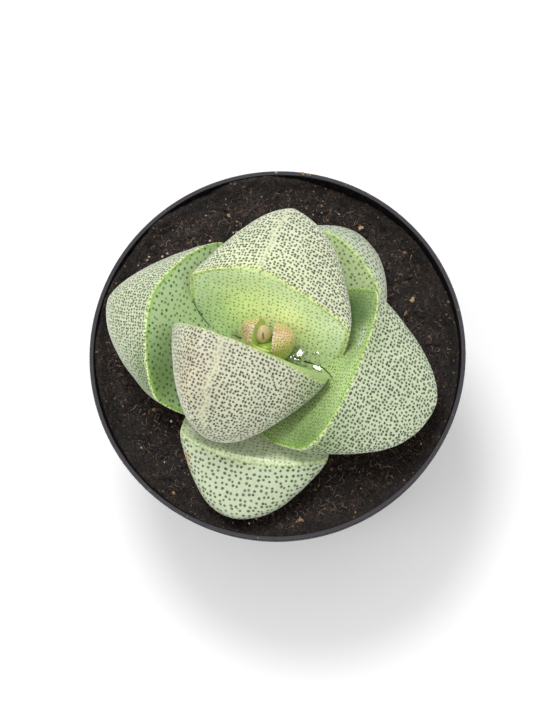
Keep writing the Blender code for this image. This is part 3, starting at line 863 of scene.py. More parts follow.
def build_heart():
    """The joined foot of the young pair: a ball stretched to its three half sizes."""
    rows, columns = 28, 40
    polar = pi * np.linspace(0, 1, rows)[:, None]
    turn = 2 * pi * np.arange(columns)[None] / columns
    unit = np.stack([np.sin(polar) * np.cos(turn), np.sin(polar) * np.sin(turn),
                     np.cos(polar) * np.ones(turn.shape)], -1)
    # its green, darker than the young faces, is partly the joined foot's own colour and partly painted shade inside the
    # cup
    finish = start_finish("young_foot_skin", Roughness=0.5, Subsurface_Weight=0.15, Subsurface_Scale=0.001,
                          Base_Color=(*rgb(150, 180, 70), 1.0))[0]
    points = closed_skin(unit * np.array(HEART_SIZE) + np.array(HEART_PLACE))
    return add_piece("young_foot", points, skin_faces(rows - 2, columns), finish, sharp=0)


def build_seam(name, places, radius, colour):
    """A line where two leaves meet: a thin tube that tapers to its ends, along straight
    lines between its places. The shade lines are painted shade in the creases between leaves."""
    sides, rows = 6, 40
    path = np.array(places) * MM
    s = np.linspace(0, len(path) - 1, rows)
    centre = np.stack([np.interp(s, np.arange(len(path)), path[:, k]) for k in range(3)], -1)
    along = np.gradient(centre, axis=0)
    along /= np.linalg.norm(along, axis=1, keepdims=True)
    across = np.cross(along, (0.0, 0.0, 1.0))
    across /= np.linalg.norm(across, axis=1, keepdims=True)
    up = np.cross(across, along)
    turn = 2 * pi * np.arange(sides) / sides
    thick = radius * MM * (1 - np.linspace(-1, 1, rows) ** 4)
    ring = across[:, None] * np.cos(turn)[:, None] + up[:, None] * np.sin(turn)[:, None]
    grid = centre[:, None] + ring * thick[:, None, None]
    finish = start_finish(name + "_skin", Roughness=0.7, Base_Color=(*rgb(*colour), 1.0))[0]
    return add_piece(name, closed_skin(grid), skin_faces(rows - 2, sides), finish, sharp=0)


# Pot


def outer_wall(z):
    """Radius of the pot's tapered outer side below the lip, at height z."""
    radius = RIM_RADIUS - LIP_STEP - DRAFT * (POT_HEIGHT - LIP_HEIGHT - z)
    return radius if z > SHOULDER_HEIGHT else radius - SHOULDER_STEP


def inner_wall(z):
    return outer_wall(z) - WALL


def wall_at(z):
    """Radius of the pot's inner side at height z, by straight lines between its corners."""
    above, lip = SHOULDER_HEIGHT + SHOULDER_STEP, POT_HEIGHT - LIP_HEIGHT
    top = RIM_RADIUS - WALL
    return np.interp(z, (above, lip, POT_HEIGHT - 0.4 * MM), (inner_wall(above), top - 0.3 * MM, top - 0.1 * MM))


def rounded(profile, radius, samples=5):
    """The profile with each corner replaced by a curve of second degree that starts and ends
    at most radius, or 45% of the side, away from it."""
    points = np.array(profile)
    before = points[:-2] - points[1:-1]
    after = points[2:] - points[1:-1]
    sizes = [np.linalg.norm(side, axis=1, keepdims=True) for side in (before, after)]
    start = points[1:-1] + before * np.minimum(radius / sizes[0], 0.45)
    end = points[1:-1] + after * np.minimum(radius / sizes[1], 0.45)
    s = np.linspace(0, 1, samples)[None, :, None]
    curve = start[:, None] * (1 - s) ** 2 + 2 * points[1:-1, None] * s * (1 - s) + end[:, None] * s**2
    return np.concatenate([points[:1], curve.reshape(-1, 2), points[-1:]])


def pot_profiles():
    """Inner line from the axis over the floor and up to the rim, and outer line from the
    rim down the lip, wall and foot back to the axis."""
    lip = POT_HEIGHT - LIP_HEIGHT
    foot = outer_wall(0.0)
    floor = FOOT_RECESS + FLOOR
    above = SHOULDER_HEIGHT + SHOULDER_STEP
    cut = foot - DRAIN_REACH
    top = RIM_RADIUS - WALL
    inner = [
        (0.0, floor),
        (cut, floor),
        (inner_wall(floor), floor),
        (inner_wall(DRAIN_RISE), DRAIN_RISE),
        (inner_wall(SHOULDER_HEIGHT), SHOULDER_HEIGHT),
        (inner_wall(above), above),
        (top - 0.3 * MM, lip),
        (top - 0.1 * MM, POT_HEIGHT - 0.4 * MM),
        (top + 0.15 * MM, POT_HEIGHT - 0.03 * MM),
        (top + 0.4 * MM, POT_HEIGHT),
        (top + 0.5 * MM, POT_HEIGHT - 0.1 * MM),
        (top + 0.6 * MM, POT_HEIGHT),
    ]
    outer = [
        (RIM_RADIUS - 0.2 * MM, POT_HEIGHT),
        (RIM_RADIUS, POT_HEIGHT - 0.3 * MM),
        (RIM_RADIUS - 0.3 * MM, lip),
        (RIM_RADIUS - LIP_STEP, lip - 0.35 * MM),
        (outer_wall(above), above),
        (outer_wall(SHOULDER_HEIGHT), SHOULDER_HEIGHT),
        (outer_wall(DRAIN_RISE), DRAIN_RISE),
        (outer_wall(LIP_STEP), LIP_STEP),
        (foot - LIP_STEP, 0.0),
        (cut, 0.0),
        (foot - FOOT_WIDTH, 0.0),
        (foot - FOOT_WIDTH - FOOT_RECESS, FOOT_RECESS),
        (0.0, FOOT_RECESS),
    ]
    line = rounded(inner + outer, 0.5 * MM)
    return line


def nearest_row(line, radius, height, rows):
    """Index of the line's point that lies nearest to the given radius and height."""
    gap = (line[:, 0] - radius) ** 2 + (line[:, 1] - height) ** 2
    return int(rows[np.argmin(gap[rows])])


def build_pot():
    """The profile turned round the axis. Over each drain slot the columns of the floor corner
    are left out, and the slot's ends and sides are closed with flat faces."""
    line = pot_profiles()
    count = len(line)
    around = 2 * pi * np.arange(POT_STEPS) / POT_STEPS
    grid = np.stack([line[:, :1] * np.cos(around), line[:, :1] * np.sin(around),
                     line[:, 1:] * np.ones(POT_STEPS)], -1)
    points = closed_skin(grid)
    quads, caps = skin_faces(count - 2, POT_STEPS)
    top = int(np.argmax(line[:, 1]))
    rows = np.arange(count)
    inside, outside = rows[:top], rows[top:]
    cut = outer_wall(0.0) - DRAIN_REACH
    floor_cut = nearest_row(line, cut, FOOT_RECESS + FLOOR, inside)
    wall_cut = nearest_row(line, inner_wall(DRAIN_RISE), DRAIN_RISE, inside)
    side_cut = nearest_row(line, outer_wall(DRAIN_RISE), DRAIN_RISE, outside)
    foot_cut = nearest_row(line, cut, 0.0, outside)
    quad_rows = np.repeat(np.arange(1, count - 2), POT_STEPS)
    quad_columns = np.tile(np.arange(POT_STEPS), count - 3)
    slot_gap = POT_STEPS // DRAIN_COUNT
    in_slot = (quad_columns + DRAIN_COLUMNS) % slot_gap < 2 * DRAIN_COLUMNS
    open_row = ((quad_rows >= floor_cut) & (quad_rows < wall_cut)) | (
        (quad_rows >= side_cut) & (quad_rows < foot_cut))
    kept = quads[~(in_slot & open_row)]

    def index(row, column):
        return 1 + (row - 1) * POT_STEPS + column % POT_STEPS

    columns = np.arange(POT_STEPS)
    columns = columns[(columns + DRAIN_COLUMNS) % slot_gap < 2 * DRAIN_COLUMNS]
    ends = np.stack([index(floor_cut, columns), index(foot_cut, columns), index(foot_cut, columns + 1),
                     index(floor_cut, columns + 1)], -1)
    tops = np.stack([index(side_cut, columns), index(wall_cut, columns), index(wall_cut, columns + 1),
                     index(side_cut, columns + 1)], -1)
    edge_rows = np.concatenate([np.arange(floor_cut, wall_cut + 1), np.arange(side_cut, foot_cut + 1)])
    middles = slot_gap * np.arange(DRAIN_COUNT)[:, None]
    starts = index(edge_rows[None], middles - DRAIN_COLUMNS)[:, ::-1]
    stops = index(edge_rows[None], middles + DRAIN_COLUMNS)
    finish = pot_finish()
    return add_piece("pot_fine", points, (kept, ends, tops, starts, stops, caps), finish,
                     ("pot",), sharp=50)


def pot_finish():
    """Thin black plastic, a little scuffed on the lip and dusty with soil high on the wall; the rim's top is a lighter
    grey, partly dust and partly painted sheen of the light on it.
    """
    finish, tree, shader = start_finish("black_pot_plastic", Roughness=0.55, IOR=1.42, Specular_IOR_Level=0.12)
    place = object_place(tree)
    height = node(tree, "SeparateXYZ", {0: place}).outputs[2]
    scuff = ramp(tree, noise(tree, place, 1100.0, 4.0), 0.5, 0.68)
    # the rim's top is painted lighter grey, partly dust and partly painted sheen of the light falling on it
    top = ramp(tree, height, 69.75 * MM, 69.95 * MM)
    dust = maths(tree, "MULTIPLY", scuff, ramp(tree, height, 50 * MM, 66 * MM, 0.1, 0.4))
    colour = blend(tree, top, rgb(13, 12, 13), rgb(64, 62, 68))
    colour = blend(tree, dust, colour, rgb(66, 58, 52))
    tree.links.new(colour, shader.inputs["Base Color"])
    rough = ramp(tree, noise(tree, place, 500.0, 3.0), 0.3, 0.7, 0.48, 0.66)
    tree.links.new(rough, shader.inputs["Roughness"])
    grain = node(tree, "Bump", {"Height": noise(tree, place, 2600.0, 2.0), "Strength": 0.15,
                                "Distance": 0.00005})
    tree.links.new(grain.outputs[0], shader.inputs["Normal"])
    return finish


# Soil


def soil_waves():
    rng = np.random.RandomState(SOIL_SEED)
    lengths = np.geomspace(*LUMP_LENGTHS, LUMP_WAVES)
    return [(length, rng.uniform(0, pi), rng.uniform(0, 2 * pi)) for length in lengths]


def soil_height(x, y):
    """Height of the soil over a point of the ground plan: a low mound under the plant and a
    bank that rises by an S curve towards one side of the wall, with lumps that are the sum
    of plane sine waves, each a fixed slope high for its length."""
    height = SOIL_LEVEL + SOIL_MOUND * np.exp(-(x * x + y * y) / MOUND_SPREAD**2)
    towards = x * np.cos(BANK_HEADING) + y * np.sin(BANK_HEADING)
    height = height + BANK_RISE * smooth(*BANK_SPAN, towards)
    for length, angle, phase in soil_waves():
        along = x * np.cos(angle) + y * np.sin(angle)
        height = height + LUMP_SLOPE * length * np.sin(2 * pi * along / length + phase) / LUMP_WAVES**0.5
    return height


def soil_top(x, y, crumble):
    """The soil's height with its crumbs: domes of three sizes and fine noise on the lumps."""
    height = soil_height(x, y)
    height = height + crumble * (0.55 * MM * pebbles(x, y, 2.6 * MM, 11) + 0.45 * MM * pebbles(x, y, 1.3 * MM, 21))
    height = height + crumble * 0.35 * MM * pebbles(x, y, 0.8 * MM, 31)
    height = height + crumble * 0.3 * MM * value_noise(x, y, 3.4 * MM, 5)
    reach = np.hypot(x, y) + 0.8 * MM * value_noise(x, y, 5 * MM, 9)
    height = height + WALL_CLIMB * smooth(40 * MM, 43.6 * MM, reach)
    return height + crumble * 0.12 * MM * value_noise(x, y, 0.5 * MM, 8) - 0.45 * MM


def build_soil(crumble):
    """A disc of rings closer together than a crumb is wide, with the soil's height, and plain
    sides and a bottom below it."""
    around = 2 * pi * np.arange(SOIL_STEPS) / SOIL_STEPS
    guess = inner_wall(SOIL_LEVEL)
    edge = wall_at(soil_top(guess * np.cos(around), guess * np.sin(around), crumble)) - 0.05 * MM
    core = np.linspace(0, 1, 8)[:-1, None] * SOIL_CORE + 0 * around
    outer = SOIL_CORE + np.linspace(0, 1, SOIL_RINGS)[:, None] * (edge - SOIL_CORE)
    radii = np.concatenate([core, outer])
    x = radii * np.cos(around)
    y = radii * np.sin(around)
    top = np.stack([x, y, soil_top(x, y, crumble)], -1)
    top[0, :, 2] = top[0, :, 2].mean()
    bottom = FOOT_RECESS + FLOOR + 0.1 * MM
    above = SHOULDER_HEIGHT + SHOULDER_STEP
    sides = [(inner_wall(above) - 0.1 * MM, above), (inner_wall(SHOULDER_HEIGHT) - 0.1 * MM, SHOULDER_HEIGHT),
             (inner_wall(bottom) - 0.1 * MM, bottom), (0.0, bottom)]
    low = [np.stack([r * np.cos(around), r * np.sin(around), np.full(SOIL_STEPS, z)], -1) for r, z in sides]
    grid = np.concatenate([top, np.array(low)])
    finish = soil_finish("peat_soil", rgb(7, 5, 4), rgb(50, 38, 31))
    return add_piece("soil_fine", closed_skin(grid), skin_faces(len(grid) - 2, SOIL_STEPS), finish,
                     ("soil",), sharp=0)


def threads(tree, place, per_metre, width, turn):
    """Thin curling lines: where a smooth noise crosses its middle value."""
    shifted_place = node(tree, "Mapping", {0: place, 1: (turn, 2 * turn, 0.5 * turn), 2: (turn, turn, 0.0)})
    level = noise(tree, shifted_place.outputs[0], per_metre, 1.0)
    away = maths(tree, "ABSOLUTE", maths(tree, "SUBTRACT", level, 0.5))
    return ramp(tree, away, width, width * 0.3)


def soil_finish(name, dark, light):
    """Damp peat: near black with brown grain, fine curling threads and sparse pale grit."""
    finish, tree, shader = start_finish(name, Roughness=0.8, IOR=1.35)
    place = object_place(tree)
    clod = ramp(tree, noise(tree, place, 260.0, 3.0), 0.36, 0.62, 0.35, 1.0)
    grain = ramp(tree, noise(tree, place, 1500.0, 4.0), 0.5, 0.6)
    fine = ramp(tree, noise(tree, place, 3300.0, 3.0), 0.57, 0.65)
    colour = blend(tree, maths(tree, "MULTIPLY", grain, clod), dark, light)
    colour = blend(tree, maths(tree, "MULTIPLY", fine, maths(tree, "MULTIPLY", clod, 0.6)), colour, rgb(116, 92, 76))
    hair = maths(tree, "MULTIPLY", threads(tree, place, 620.0, 0.012, 0.4), clod)
    hair = maths(tree, "MULTIPLY", hair, ramp(tree, noise(tree, place, 900.0), 0.45, 0.6))
    colour = blend(tree, maths(tree, "MULTIPLY", hair, 0.7), colour, rgb(92, 72, 58))
    rust = maths(tree, "MULTIPLY", threads(tree, place, 420.0, 0.01, 1.3), ramp(tree, noise(tree, place, 500.0), 0.55, 0.65))
    colour = blend(tree, maths(tree, "MULTIPLY", rust, 0.6), colour, rgb(112, 66, 36))
    cells = node(tree, "TexVoronoi", {"Vector": place, "Scale": 2700.0})
    chance = node(tree, "SeparateColor", {0: cells.outputs["Color"]})
    grit = maths(tree, "GREATER_THAN", chance.outputs[0], 0.988)
    warm = blend(tree, chance.outputs[1], rgb(92, 58, 34), rgb(150, 128, 100))
    colour = blend(tree, grit, colour, warm)
    tree.links.new(colour, shader.inputs["Base Color"])
    rise = maths(tree, "ADD", noise(tree, place, 2400.0, 4.0), maths(tree, "MULTIPLY", hair, 0.3))
    bump = node(tree, "Bump", {"Height": rise, "Strength": 0.9, "Distance": 0.0004})
    tree.links.new(bump.outputs[0], shader.inputs["Normal"])
    return finish


def ball(count_along=4, count_around=6):
    """Directions of a coarse ball as closed rings, and its faces."""
    polar = pi * np.arange(count_along + 1)[:, None] / count_along
    turn = 2 * pi * np.arange(count_around)[None] / count_around
    grid = np.stack([np.sin(polar) * np.cos(turn), np.sin(polar) * np.sin(turn),
                     np.cos(polar) * np.ones(turn.shape)], -1)
    return closed_skin(grid), skin_faces(count_along - 1, count_around)


def scatter(rng, count, inner, outer):
    """Points spread evenly over the ring between two radii."""
    radius = np.sqrt(rng.uniform(inner**2, outer**2, count))
    turn = rng.uniform(0, 2 * pi, count)
    return radius * np.cos(turn), radius * np.sin(turn)


def random_turns(rng, count):
    """Random rotation matrices, from random unit quaternions."""
    q = rng.normal(size=(count, 4))
    w, x, y, z = (q / np.linalg.norm(q, axis=1, keepdims=True)).T
    return np.stack([
        np.stack([1 - 2 * (y * y + z * z), 2 * (x * y - z * w), 2 * (x * z + y * w)], -1),
        np.stack([2 * (x * y + z * w), 1 - 2 * (x * x + z * z), 2 * (y * z - x * w)], -1),
        np.stack([2 * (x * z - y * w), 2 * (y * z + x * w), 1 - 2 * (x * x + y * y)], -1),
    ], 1)


def lumps(rng, x, y, z, radius, stretch, rough):
    """Irregular crumbs: coarse balls, each point's radius varied at random, stretched, turned
    and set at its place. Returns the points and faces of all of them together."""
    unit, faces = ball()
    count = len(x)
    size = radius[:, None] * (1 + rough * rng.uniform(-1, 1, (count, len(unit))))
    shape = unit[None] * size[..., None] * rng.uniform(*stretch, (count, 1, 3))
    turned = np.einsum("nij,nkj->nki", random_turns(rng, count), shape)
    points = turned + np.stack([x, y, z], -1)[:, None]
    starts = (np.arange(count) * len(unit))[:, None, None]
    return points.reshape(-1, 3), [(f[None] + starts).reshape(-1, f.shape[1]) for f in faces]


def crumb_finish(name, colours, roughness):
    """A crumb finish: each crumb's colour is picked between two by its own random number."""
    finish, tree, shader = start_finish(name, Roughness=roughness, IOR=1.4)
    chance = attribute(tree, "chance", "Fac")
    place = object_place(tree)
    grain = ramp(tree, noise(tree, place, 2200.0, 3.0), 0.35, 0.7, 0.6, 1.15)
    colour = blend(tree, chance, *colours)
    colour = blend(tree, 1.0, colour, node(tree, "CombineColor", {0: grain, 1: grain, 2: grain}).outputs[0], "MULTIPLY")
    tree.links.new(colour, shader.inputs["Base Color"])
    return finish


def add_crumbs(name, rng, x, y, lift, radius, stretch, rough, finish, height=None):
    z = (soil_height(x, y) if height is None else height) + lift * radius
    points, faces = lumps(rng, x, y, z, radius, stretch, rough)
    piece = add_piece(name, points, faces, finish, sharp=60)
    chance = rng.uniform(0, 1, len(x))
    set_numbers(piece, "chance", np.repeat(chance, len(points) // len(x)))
    return piece


def fibres(rng, count, lengths, radii, reach, lift):
    """Thin curved tubes that lie on the soil: each follows a plane curve whose direction
    turns steadily, with three sides that taper to its ends."""
    segments = 7
    x, y = scatter(rng, count, 14 * MM, reach)
    heading = rng.uniform(0, 2 * pi, count)
    bend = rng.normal(0, 1.3, count)
    wave = rng.normal(0, 0.5, (count, segments)).cumsum(1) * 0.4
    s = np.linspace(0, 1, segments)[None]
    length = rng.uniform(*lengths, count)[:, None]
    angle = heading[:, None] + bend[:, None] * (s - 0.5) * 2 + wave
    dx = np.cos(angle) * length / segments
    dy = np.sin(angle) * length / segments
    px = x[:, None] + dx.cumsum(1) - dx.sum(1, keepdims=True) / 2
    py = y[:, None] + dy.cumsum(1) - dy.sum(1, keepdims=True) / 2
    far = np.maximum(np.hypot(px, py) / reach, 1)
    px, py = px / far, py / far
    arch = np.sin(pi * s) * rng.uniform(-0.2, 0.9, count)[:, None] * lift
    pz = soil_height(px, py) + arch + rng.uniform(-0.1, 0.35, count)[:, None] * MM
    centre = np.stack([px, py, pz], -1)
    across = np.stack([-np.sin(angle), np.cos(angle), np.zeros_like(angle)], -1)
    up = np.array([0.0, 0.0, 1.0])
    thick = rng.uniform(*radii, count)[:, None] * (1 - 0.7 * np.abs(2 * s - 1) ** 3)
    sides = 3
    turn = 2 * pi * np.arange(sides) / sides
    ring = across[:, :, None] * np.cos(turn)[:, None] + up * np.sin(turn)[:, None]
    points = centre[:, :, None] + ring * thick[:, :, None, None]
    base = (np.arange(count) * segments * sides)[:, None, None]
    row = (np.arange(segments - 1) * sides)[None, :, None]
    k = np.arange(sides)[None, None]
    j = (k + 1) % sides
    quads = np.stack([base + row + k, base + row + j, base + row + sides + j, base + row + sides + k], -1)
    starts = base[:, 0] + np.array([[2, 1, 0]])
    ends = base[:, 0] + (segments - 1) * sides + np.array([[0, 1, 2]])
    return points.reshape(-1, 3), (quads.reshape(-1, 4), starts, ends), segments * sides


TAN_PLACES = ((4.5, -39.8), (5.4, -39.2), (32.5, 14.0), (36.3, -20.3), (-18.7, -39.2), (-11.8, 34.7), (-29.8, -12.4))


def build_litter(density):
    """Everything that lies loose on the soil, dark crumbs first, then the paler grains."""
    rng = np.random.RandomState(23)
    edge = inner_wall(SOIL_LEVEL) - 0.8 * MM
    dark = crumb_finish("peat_crumb", (rgb(9, 6, 5), rgb(70, 55, 46)), 0.9)
    count = int(4200 * density)
    x, y = scatter(rng, count, 14 * MM, edge)
    radius = (0.12 + 0.42 * rng.uniform(0, 1, count) ** 2.2) * MM
    add_crumbs("peat_crumbs", rng, x, y, 0.4, radius, (0.35, 1.7), 0.5, dark)
    tan = crumb_finish("bark_crumb", (rgb(96, 62, 36), rgb(204, 172, 126)), 0.85)
    count = int(210 * density)
    x, y = scatter(rng, count, 16 * MM, edge)
    cx, cy = rng.normal(31 * MM, 5 * MM, 26), rng.normal(-22 * MM, 6 * MM, 26)
    keep = np.hypot(cx, cy) < edge
    x, y = np.concatenate([x, cx[keep]]), np.concatenate([y, cy[keep]])
    x, y = np.append(x, np.array(TAN_PLACES)[:, 0] * MM), np.append(y, np.array(TAN_PLACES)[:, 1] * MM)
    radius = (0.1 + 0.26 * rng.uniform(0, 1, len(x)) ** 2.5) * MM
    radius[-len(TAN_PLACES):] = rng.uniform(0.34, 0.5, len(TAN_PLACES)) * MM
    add_crumbs("bark_crumbs", rng, x, y, 0.9, radius, (0.35, 1.7), 0.5, tan)
    pale = crumb_finish("pale_grit", (rgb(168, 158, 150), rgb(236, 228, 208)), 0.6)
    x, y = scatter(rng, int(60 * density), 18 * MM, edge)
    cx, cy = rng.normal(-30.9 * MM, 3.4 * MM, 18), rng.normal(26 * MM, 3 * MM, 18)
    keep = np.hypot(cx, cy) < edge
    x, y = np.concatenate([x, cx[keep]]), np.concatenate([y, cy[keep]])
    radius = rng.uniform(0.12, 0.34, len(x)) * MM
    add_crumbs("pale_grit", rng, x, y, 1.0, radius, (0.8, 1.2), 0.2, pale)
    for name, count, lengths, radii, colours in (
        ("peat_fibres", 2800, (0.8, 2.8), (0.045, 0.1), ((14, 10, 8), (160, 134, 116))),
        ("bark_fibres", 70, (2, 5), (0.06, 0.11), ((116, 60, 26), (166, 108, 60))),
    ):
        points, faces, each = fibres(rng, int(count * density), [v * MM for v in lengths],
                                     [v * MM for v in radii], edge, 0.7 * MM)
        finish = crumb_finish(name + "_finish", (rgb(*colours[0]), rgb(*colours[1])), 0.8)
        piece = add_piece(name, points, faces, finish, sharp=60)
        set_numbers(piece, "chance", np.repeat(rng.uniform(0, 1, len(points) // each), each))
    build_rim_grit(rng, tan)


def build_rim_grit(rng, finish):
    """Grains caught on the rim."""
    count = 26
    turn = rng.uniform(0, 2 * pi, count)
    turn[:9] = pi / 2 + rng.normal(0, 0.3, 9)
    turn[:4] = radians(90.1), radians(81.8), radians(79.5), radians(80.4)
    middle = RIM_RADIUS - 0.5 * MM
    radius = rng.uniform(0.06, 0.16, count) * MM
    radius[:4] = np.array((0.3, 0.34, 0.3, 0.2)) * MM
    add_crumbs("rim_grit", rng, middle * np.cos(turn), middle * np.sin(turn), 0.5, radius, (0.6, 1.5),
               0.3, finish, height=np.full(count, POT_HEIGHT))


# Water


WATER = (
    # place in mm, half lengths along the fissure, across it and upwards of each drop
    ((5.9, -2.2, 80.0), (1.3, 1.7, 0.9)),
    ((4.4, -3.0, 79.6), (1.5, 1.2, 0.8)),
    ((5.2, -3.6, 80.0), (1.2, 0.7, 0.6)),
    ((10.1, -5.7, 79.6), (1.5, 0.8, 0.5)),
    ((10.2, -2.4, 81.0), (0.55, 0.4, 0.4)),
    ((9.4, -2.3, 80.4), (0.35, 0.3, 0.3)),
)
FISSURE = (0.946, -0.326)


def build_water():
    """Drops in the fissure and on the skin by it: balls drawn out along the fissure, their
    tops flattened by a hyperbolic tangent, each uneven by slow waves round and along it."""
    finish, tree, shader = start_finish("water", Roughness=0.02, IOR=1.36, Specular_IOR_Level=1.0,
                                        Transmission_Weight=1.0)
    rows, columns = 30, 48
    polar = pi * np.linspace(0, 1, rows)[:, None]
    turn = 2 * pi * np.arange(columns)[None] / columns
    wave = 1 + 0.07 * np.sin(polar) * np.sin(2 * turn + 1) + 0.06 * np.sin(3 * turn) * np.sin(2 * polar) ** 2
    wave = wave + 0.035 * np.sin(6 * polar) * np.sin(turn + 2)
    across, out = np.sin(polar) * np.cos(turn), np.sin(polar) * np.sin(turn)
    top = np.tanh(2.2 * np.cos(polar)) / np.tanh(2.2) + 0.02 * np.sin(5 * across + 1) * np.sin(4 * out)
    ball_grid = np.stack([across * wave, out * wave, top], -1)
    along, across = FISSURE
    axes = np.array([[along, across, 0.0], [-across, along, 0.0], [0.0, 0.0, 1.0]])
    parts = [closed_skin(ball_grid * np.array(size) * MM @ axes + np.array(place) * MM) for place, size in WATER]
    quads, caps = skin_faces(rows - 2, columns)
    starts = (np.arange(len(parts)) * len(parts[0]))[:, None, None]
    faces = [(f[None] + starts).reshape(-1, f.shape[1]) for f in (quads, caps)]
    return add_piece("water_drops", np.concatenate(parts), faces, finish, sharp=0)


# Stage


def build_floor(settings):
    size = 1.6
    points = np.array([(-size, -size, 0), (size, -size, 0), (size, size, 0), (-size, size, 0)])
    mesh = bpy.data.meshes.new("floor")
    mesh.from_pydata((points - np.array([0, 0, 0.02 * MM])).tolist(), [], [(0, 1, 2, 3)])
    finish, tree, shader = start_finish("pale_floor", Roughness=0.8)
    shader.inputs["Base Color"].default_value = (*settings.floor_colour, 1.0)
    mesh.materials.append(finish)
    floor = bpy.data.objects.new("floor", mesh)
    bpy.context.scene.collection.objects.link(floor)


def add_light(name, place, size, watts, target=(0.0, 0.0, 0.07)):
    lamp = bpy.data.lights.new(name, "AREA")
    lamp.shape = "DISK"
    lamp.size = size
    lamp.energy = watts
    light = bpy.data.objects.new(name, lamp)
    bpy.context.scene.collection.objects.link(light)
    light.location = place
    light.rotation_euler = (Vector(target) - Vector(place)).to_track_quat("-Z", "Y").to_euler()
    return light


def build_stage(settings):
    build_floor(settings)
    world = bpy.data.worlds.new("studio")
    world.use_nodes = True
    background = world.node_tree.nodes["Background"]
    background.inputs["Color"].default_value = (1.0, 1.0, 1.0, 1.0)
    background.inputs["Strength"].default_value = settings.ambient
    bpy.context.scene.world = world
    add_light("softbox_top", (-0.07, 0.24, 0.78), 0.2, settings.key_watts)
    add_light("softbox_left", (-0.55, -0.15, 0.45), 0.30, settings.fill_watts)
    glint = add_light("softbox_glint", (-0.04, 0.16, 0.785), 0.28, settings.glint_watts)
    glint.visible_diffuse = False
    bpy.context.scene.view_settings.view_transform = "Standard"
    build_camera()


def build_camera():
    """A camera that looks along the view's tilt and turn at the middle of the rim's plane."""
    tilt, turn = VIEW_TILT, VIEW_TURN
    back = Vector((np.sin(tilt) * np.sin(turn), -np.sin(tilt) * np.cos(turn), np.cos(tilt)))
    up = Vector((0.0, 1.0, 0.0))
    up = (up - up.dot(back) * back).normalized()
    lens = bpy.data.cameras.new("camera")
    lens.lens = VIEW_LENS
    lens.sensor_width = 36
    lens.shift_x, lens.shift_y = VIEW_SHIFT
    lens.clip_start = 0.01
    camera = bpy.data.objects.new("camera", lens)
    bpy.context.scene.collection.objects.link(camera)
    matrix = Matrix((up.cross(back), up, back)).transposed().to_4x4()
    matrix.translation = Vector((0.0, 0.0, VIEW_HEIGHT)) + VIEW_DISTANCE * back
    camera.matrix_world = matrix
    bpy.context.scene.camera = camera


# Settings, operators and panel


class SucculentSoil(bpy.types.PropertyGroup):
    crumble: bpy.props.FloatProperty(
        name="Crumble", description="Height of the crumbs against the real ones", default=1.0, min=0, max=2,
        subtype="FACTOR",
    )
    litter: bpy.props.FloatProperty(
        name="Litter", description="Amount of loose crumbs and fibres against the real pot", default=1.0,
        min=0.05, max=2, subtype="FACTOR",
    )


class SucculentStage(bpy.types.PropertyGroup):
    floor_colour: bpy.props.FloatVectorProperty(
        name="Floor", description="Colour of the floor", default=(0.98, 0.98, 0.98), size=3, min=0, max=1,
        subtype="COLOR",
    )
    ambient: bpy.props.FloatProperty(
        name="Ambient", description="Strength of the light from all round", default=0.86, min=0, max=5,
    )
    key_watts: bpy.props.FloatProperty(
        name="Top light", description="Power of the soft light overhead", default=2.4, min=0, max=500,
        subtype="POWER",
    )
    fill_watts: bpy.props.FloatProperty(
        name="Side light", description="Power of the soft light from the left", default=0.57, min=0, max=500,
        subtype="POWER",
    )
    glint_watts: bpy.props.FloatProperty(
        name="Glint light", description="Power of the light that only shows in the gloss", default=5.5, min=0,
        max=500, subtype="POWER",
    )


class SUCCULENT_OT_pot(bpy.types.Operator):
    """Builds the nursery pot"""

    bl_idname = "succulent.pot"
    bl_label = "Pot"

    def execute(self, context):
        build_pot()
        return {"FINISHED"}


class SUCCULENT_OT_soil(bpy.types.Operator):
    """Builds the soil and what lies loose on it"""

    bl_idname = "succulent.soil"
    bl_label = "Soil"

    def execute(self, context):
        settings = context.scene.succulent_soil
        build_soil(settings.crumble)
        build_litter(settings.litter)
        return {"FINISHED"}


class SUCCULENT_OT_leaves(bpy.types.Operator):
    """Builds the three pairs of leaves"""

    bl_idname = "succulent.leaves"
    bl_label = "Leaves"

    def execute(self, context):
        for name, form in LEAVES.items():
            build_leaf(name, form, LOOKS[name], (FACE_RINGS, BACK_RINGS), LEAF_STEPS)
        for seam in SEAMS:
            build_seam(*seam)
        return {"FINISHED"}


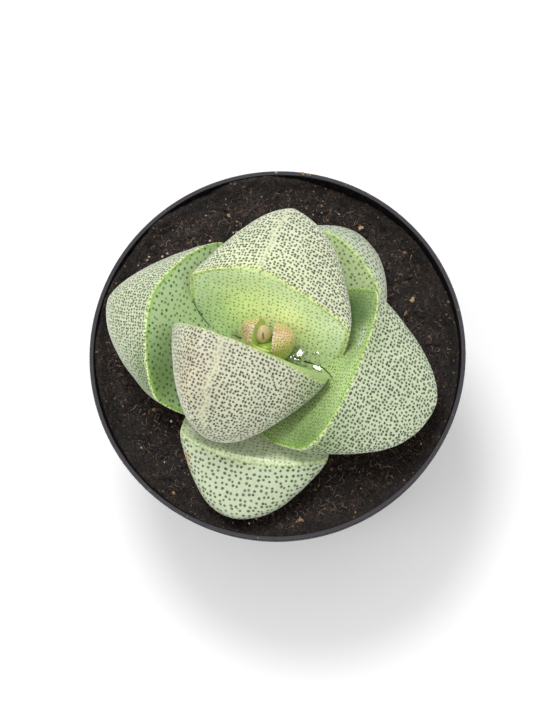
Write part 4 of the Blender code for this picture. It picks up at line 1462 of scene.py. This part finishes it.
class SUCCULENT_OT_young(bpy.types.Operator):
    """Builds the young pair and the bud in the fissure"""

    bl_idname = "succulent.young"
    bl_label = "Young pair and bud"

    def execute(self, context):
        for name, form in YOUNG.items():
            build_leaf(name, form, LOOKS[name], YOUNG_RINGS, YOUNG_STEPS)
        build_bud()
        build_heart()
        return {"FINISHED"}


class SUCCULENT_OT_water(bpy.types.Operator):
    """Builds the water drops by the fissure"""

    bl_idname = "succulent.water"
    bl_label = "Water drops"

    def execute(self, context):
        build_water()
        return {"FINISHED"}


class SUCCULENT_OT_stage(bpy.types.Operator):
    """Builds the floor, lights and camera"""

    bl_idname = "succulent.stage"
    bl_label = "Stage"

    def execute(self, context):
        build_stage(context.scene.succulent_stage)
        return {"FINISHED"}


OPERATORS = (
    SUCCULENT_OT_pot,
    SUCCULENT_OT_soil,
    SUCCULENT_OT_leaves,
    SUCCULENT_OT_young,
    SUCCULENT_OT_water,
    SUCCULENT_OT_stage,
)


class SUCCULENT_PT_panel(bpy.types.Panel):
    """Lists the settings and the pieces"""

    bl_idname = "SUCCULENT_PT_panel"
    bl_label = "Potted succulent"
    bl_space_type = "VIEW_3D"
    bl_region_type = "UI"
    bl_category = "Succulent"

    def draw(self, context):
        for group in (context.scene.succulent_soil, context.scene.succulent_stage):
            for name in group.bl_rna.properties.keys():
                if name not in ("rna_type", "name"):
                    self.layout.prop(group, name)
        for operator in OPERATORS:
            self.layout.operator(operator.bl_idname)


CLASSES = (SucculentSoil, SucculentStage, *OPERATORS, SUCCULENT_PT_panel)


def register():
    for cls in CLASSES:
        bpy.utils.register_class(cls)
    bpy.types.Scene.succulent_soil = bpy.props.PointerProperty(type=SucculentSoil)
    bpy.types.Scene.succulent_stage = bpy.props.PointerProperty(type=SucculentStage)


def unregister():
    del bpy.types.Scene.succulent_soil
    del bpy.types.Scene.succulent_stage
    for cls in reversed(CLASSES):
        bpy.utils.unregister_class(cls)


def main():
    register()
    for name in ("pot", "soil", "leaves", "young", "water", "stage"):
        getattr(bpy.ops.succulent, name)()


if __name__ == "__main__":
    main()
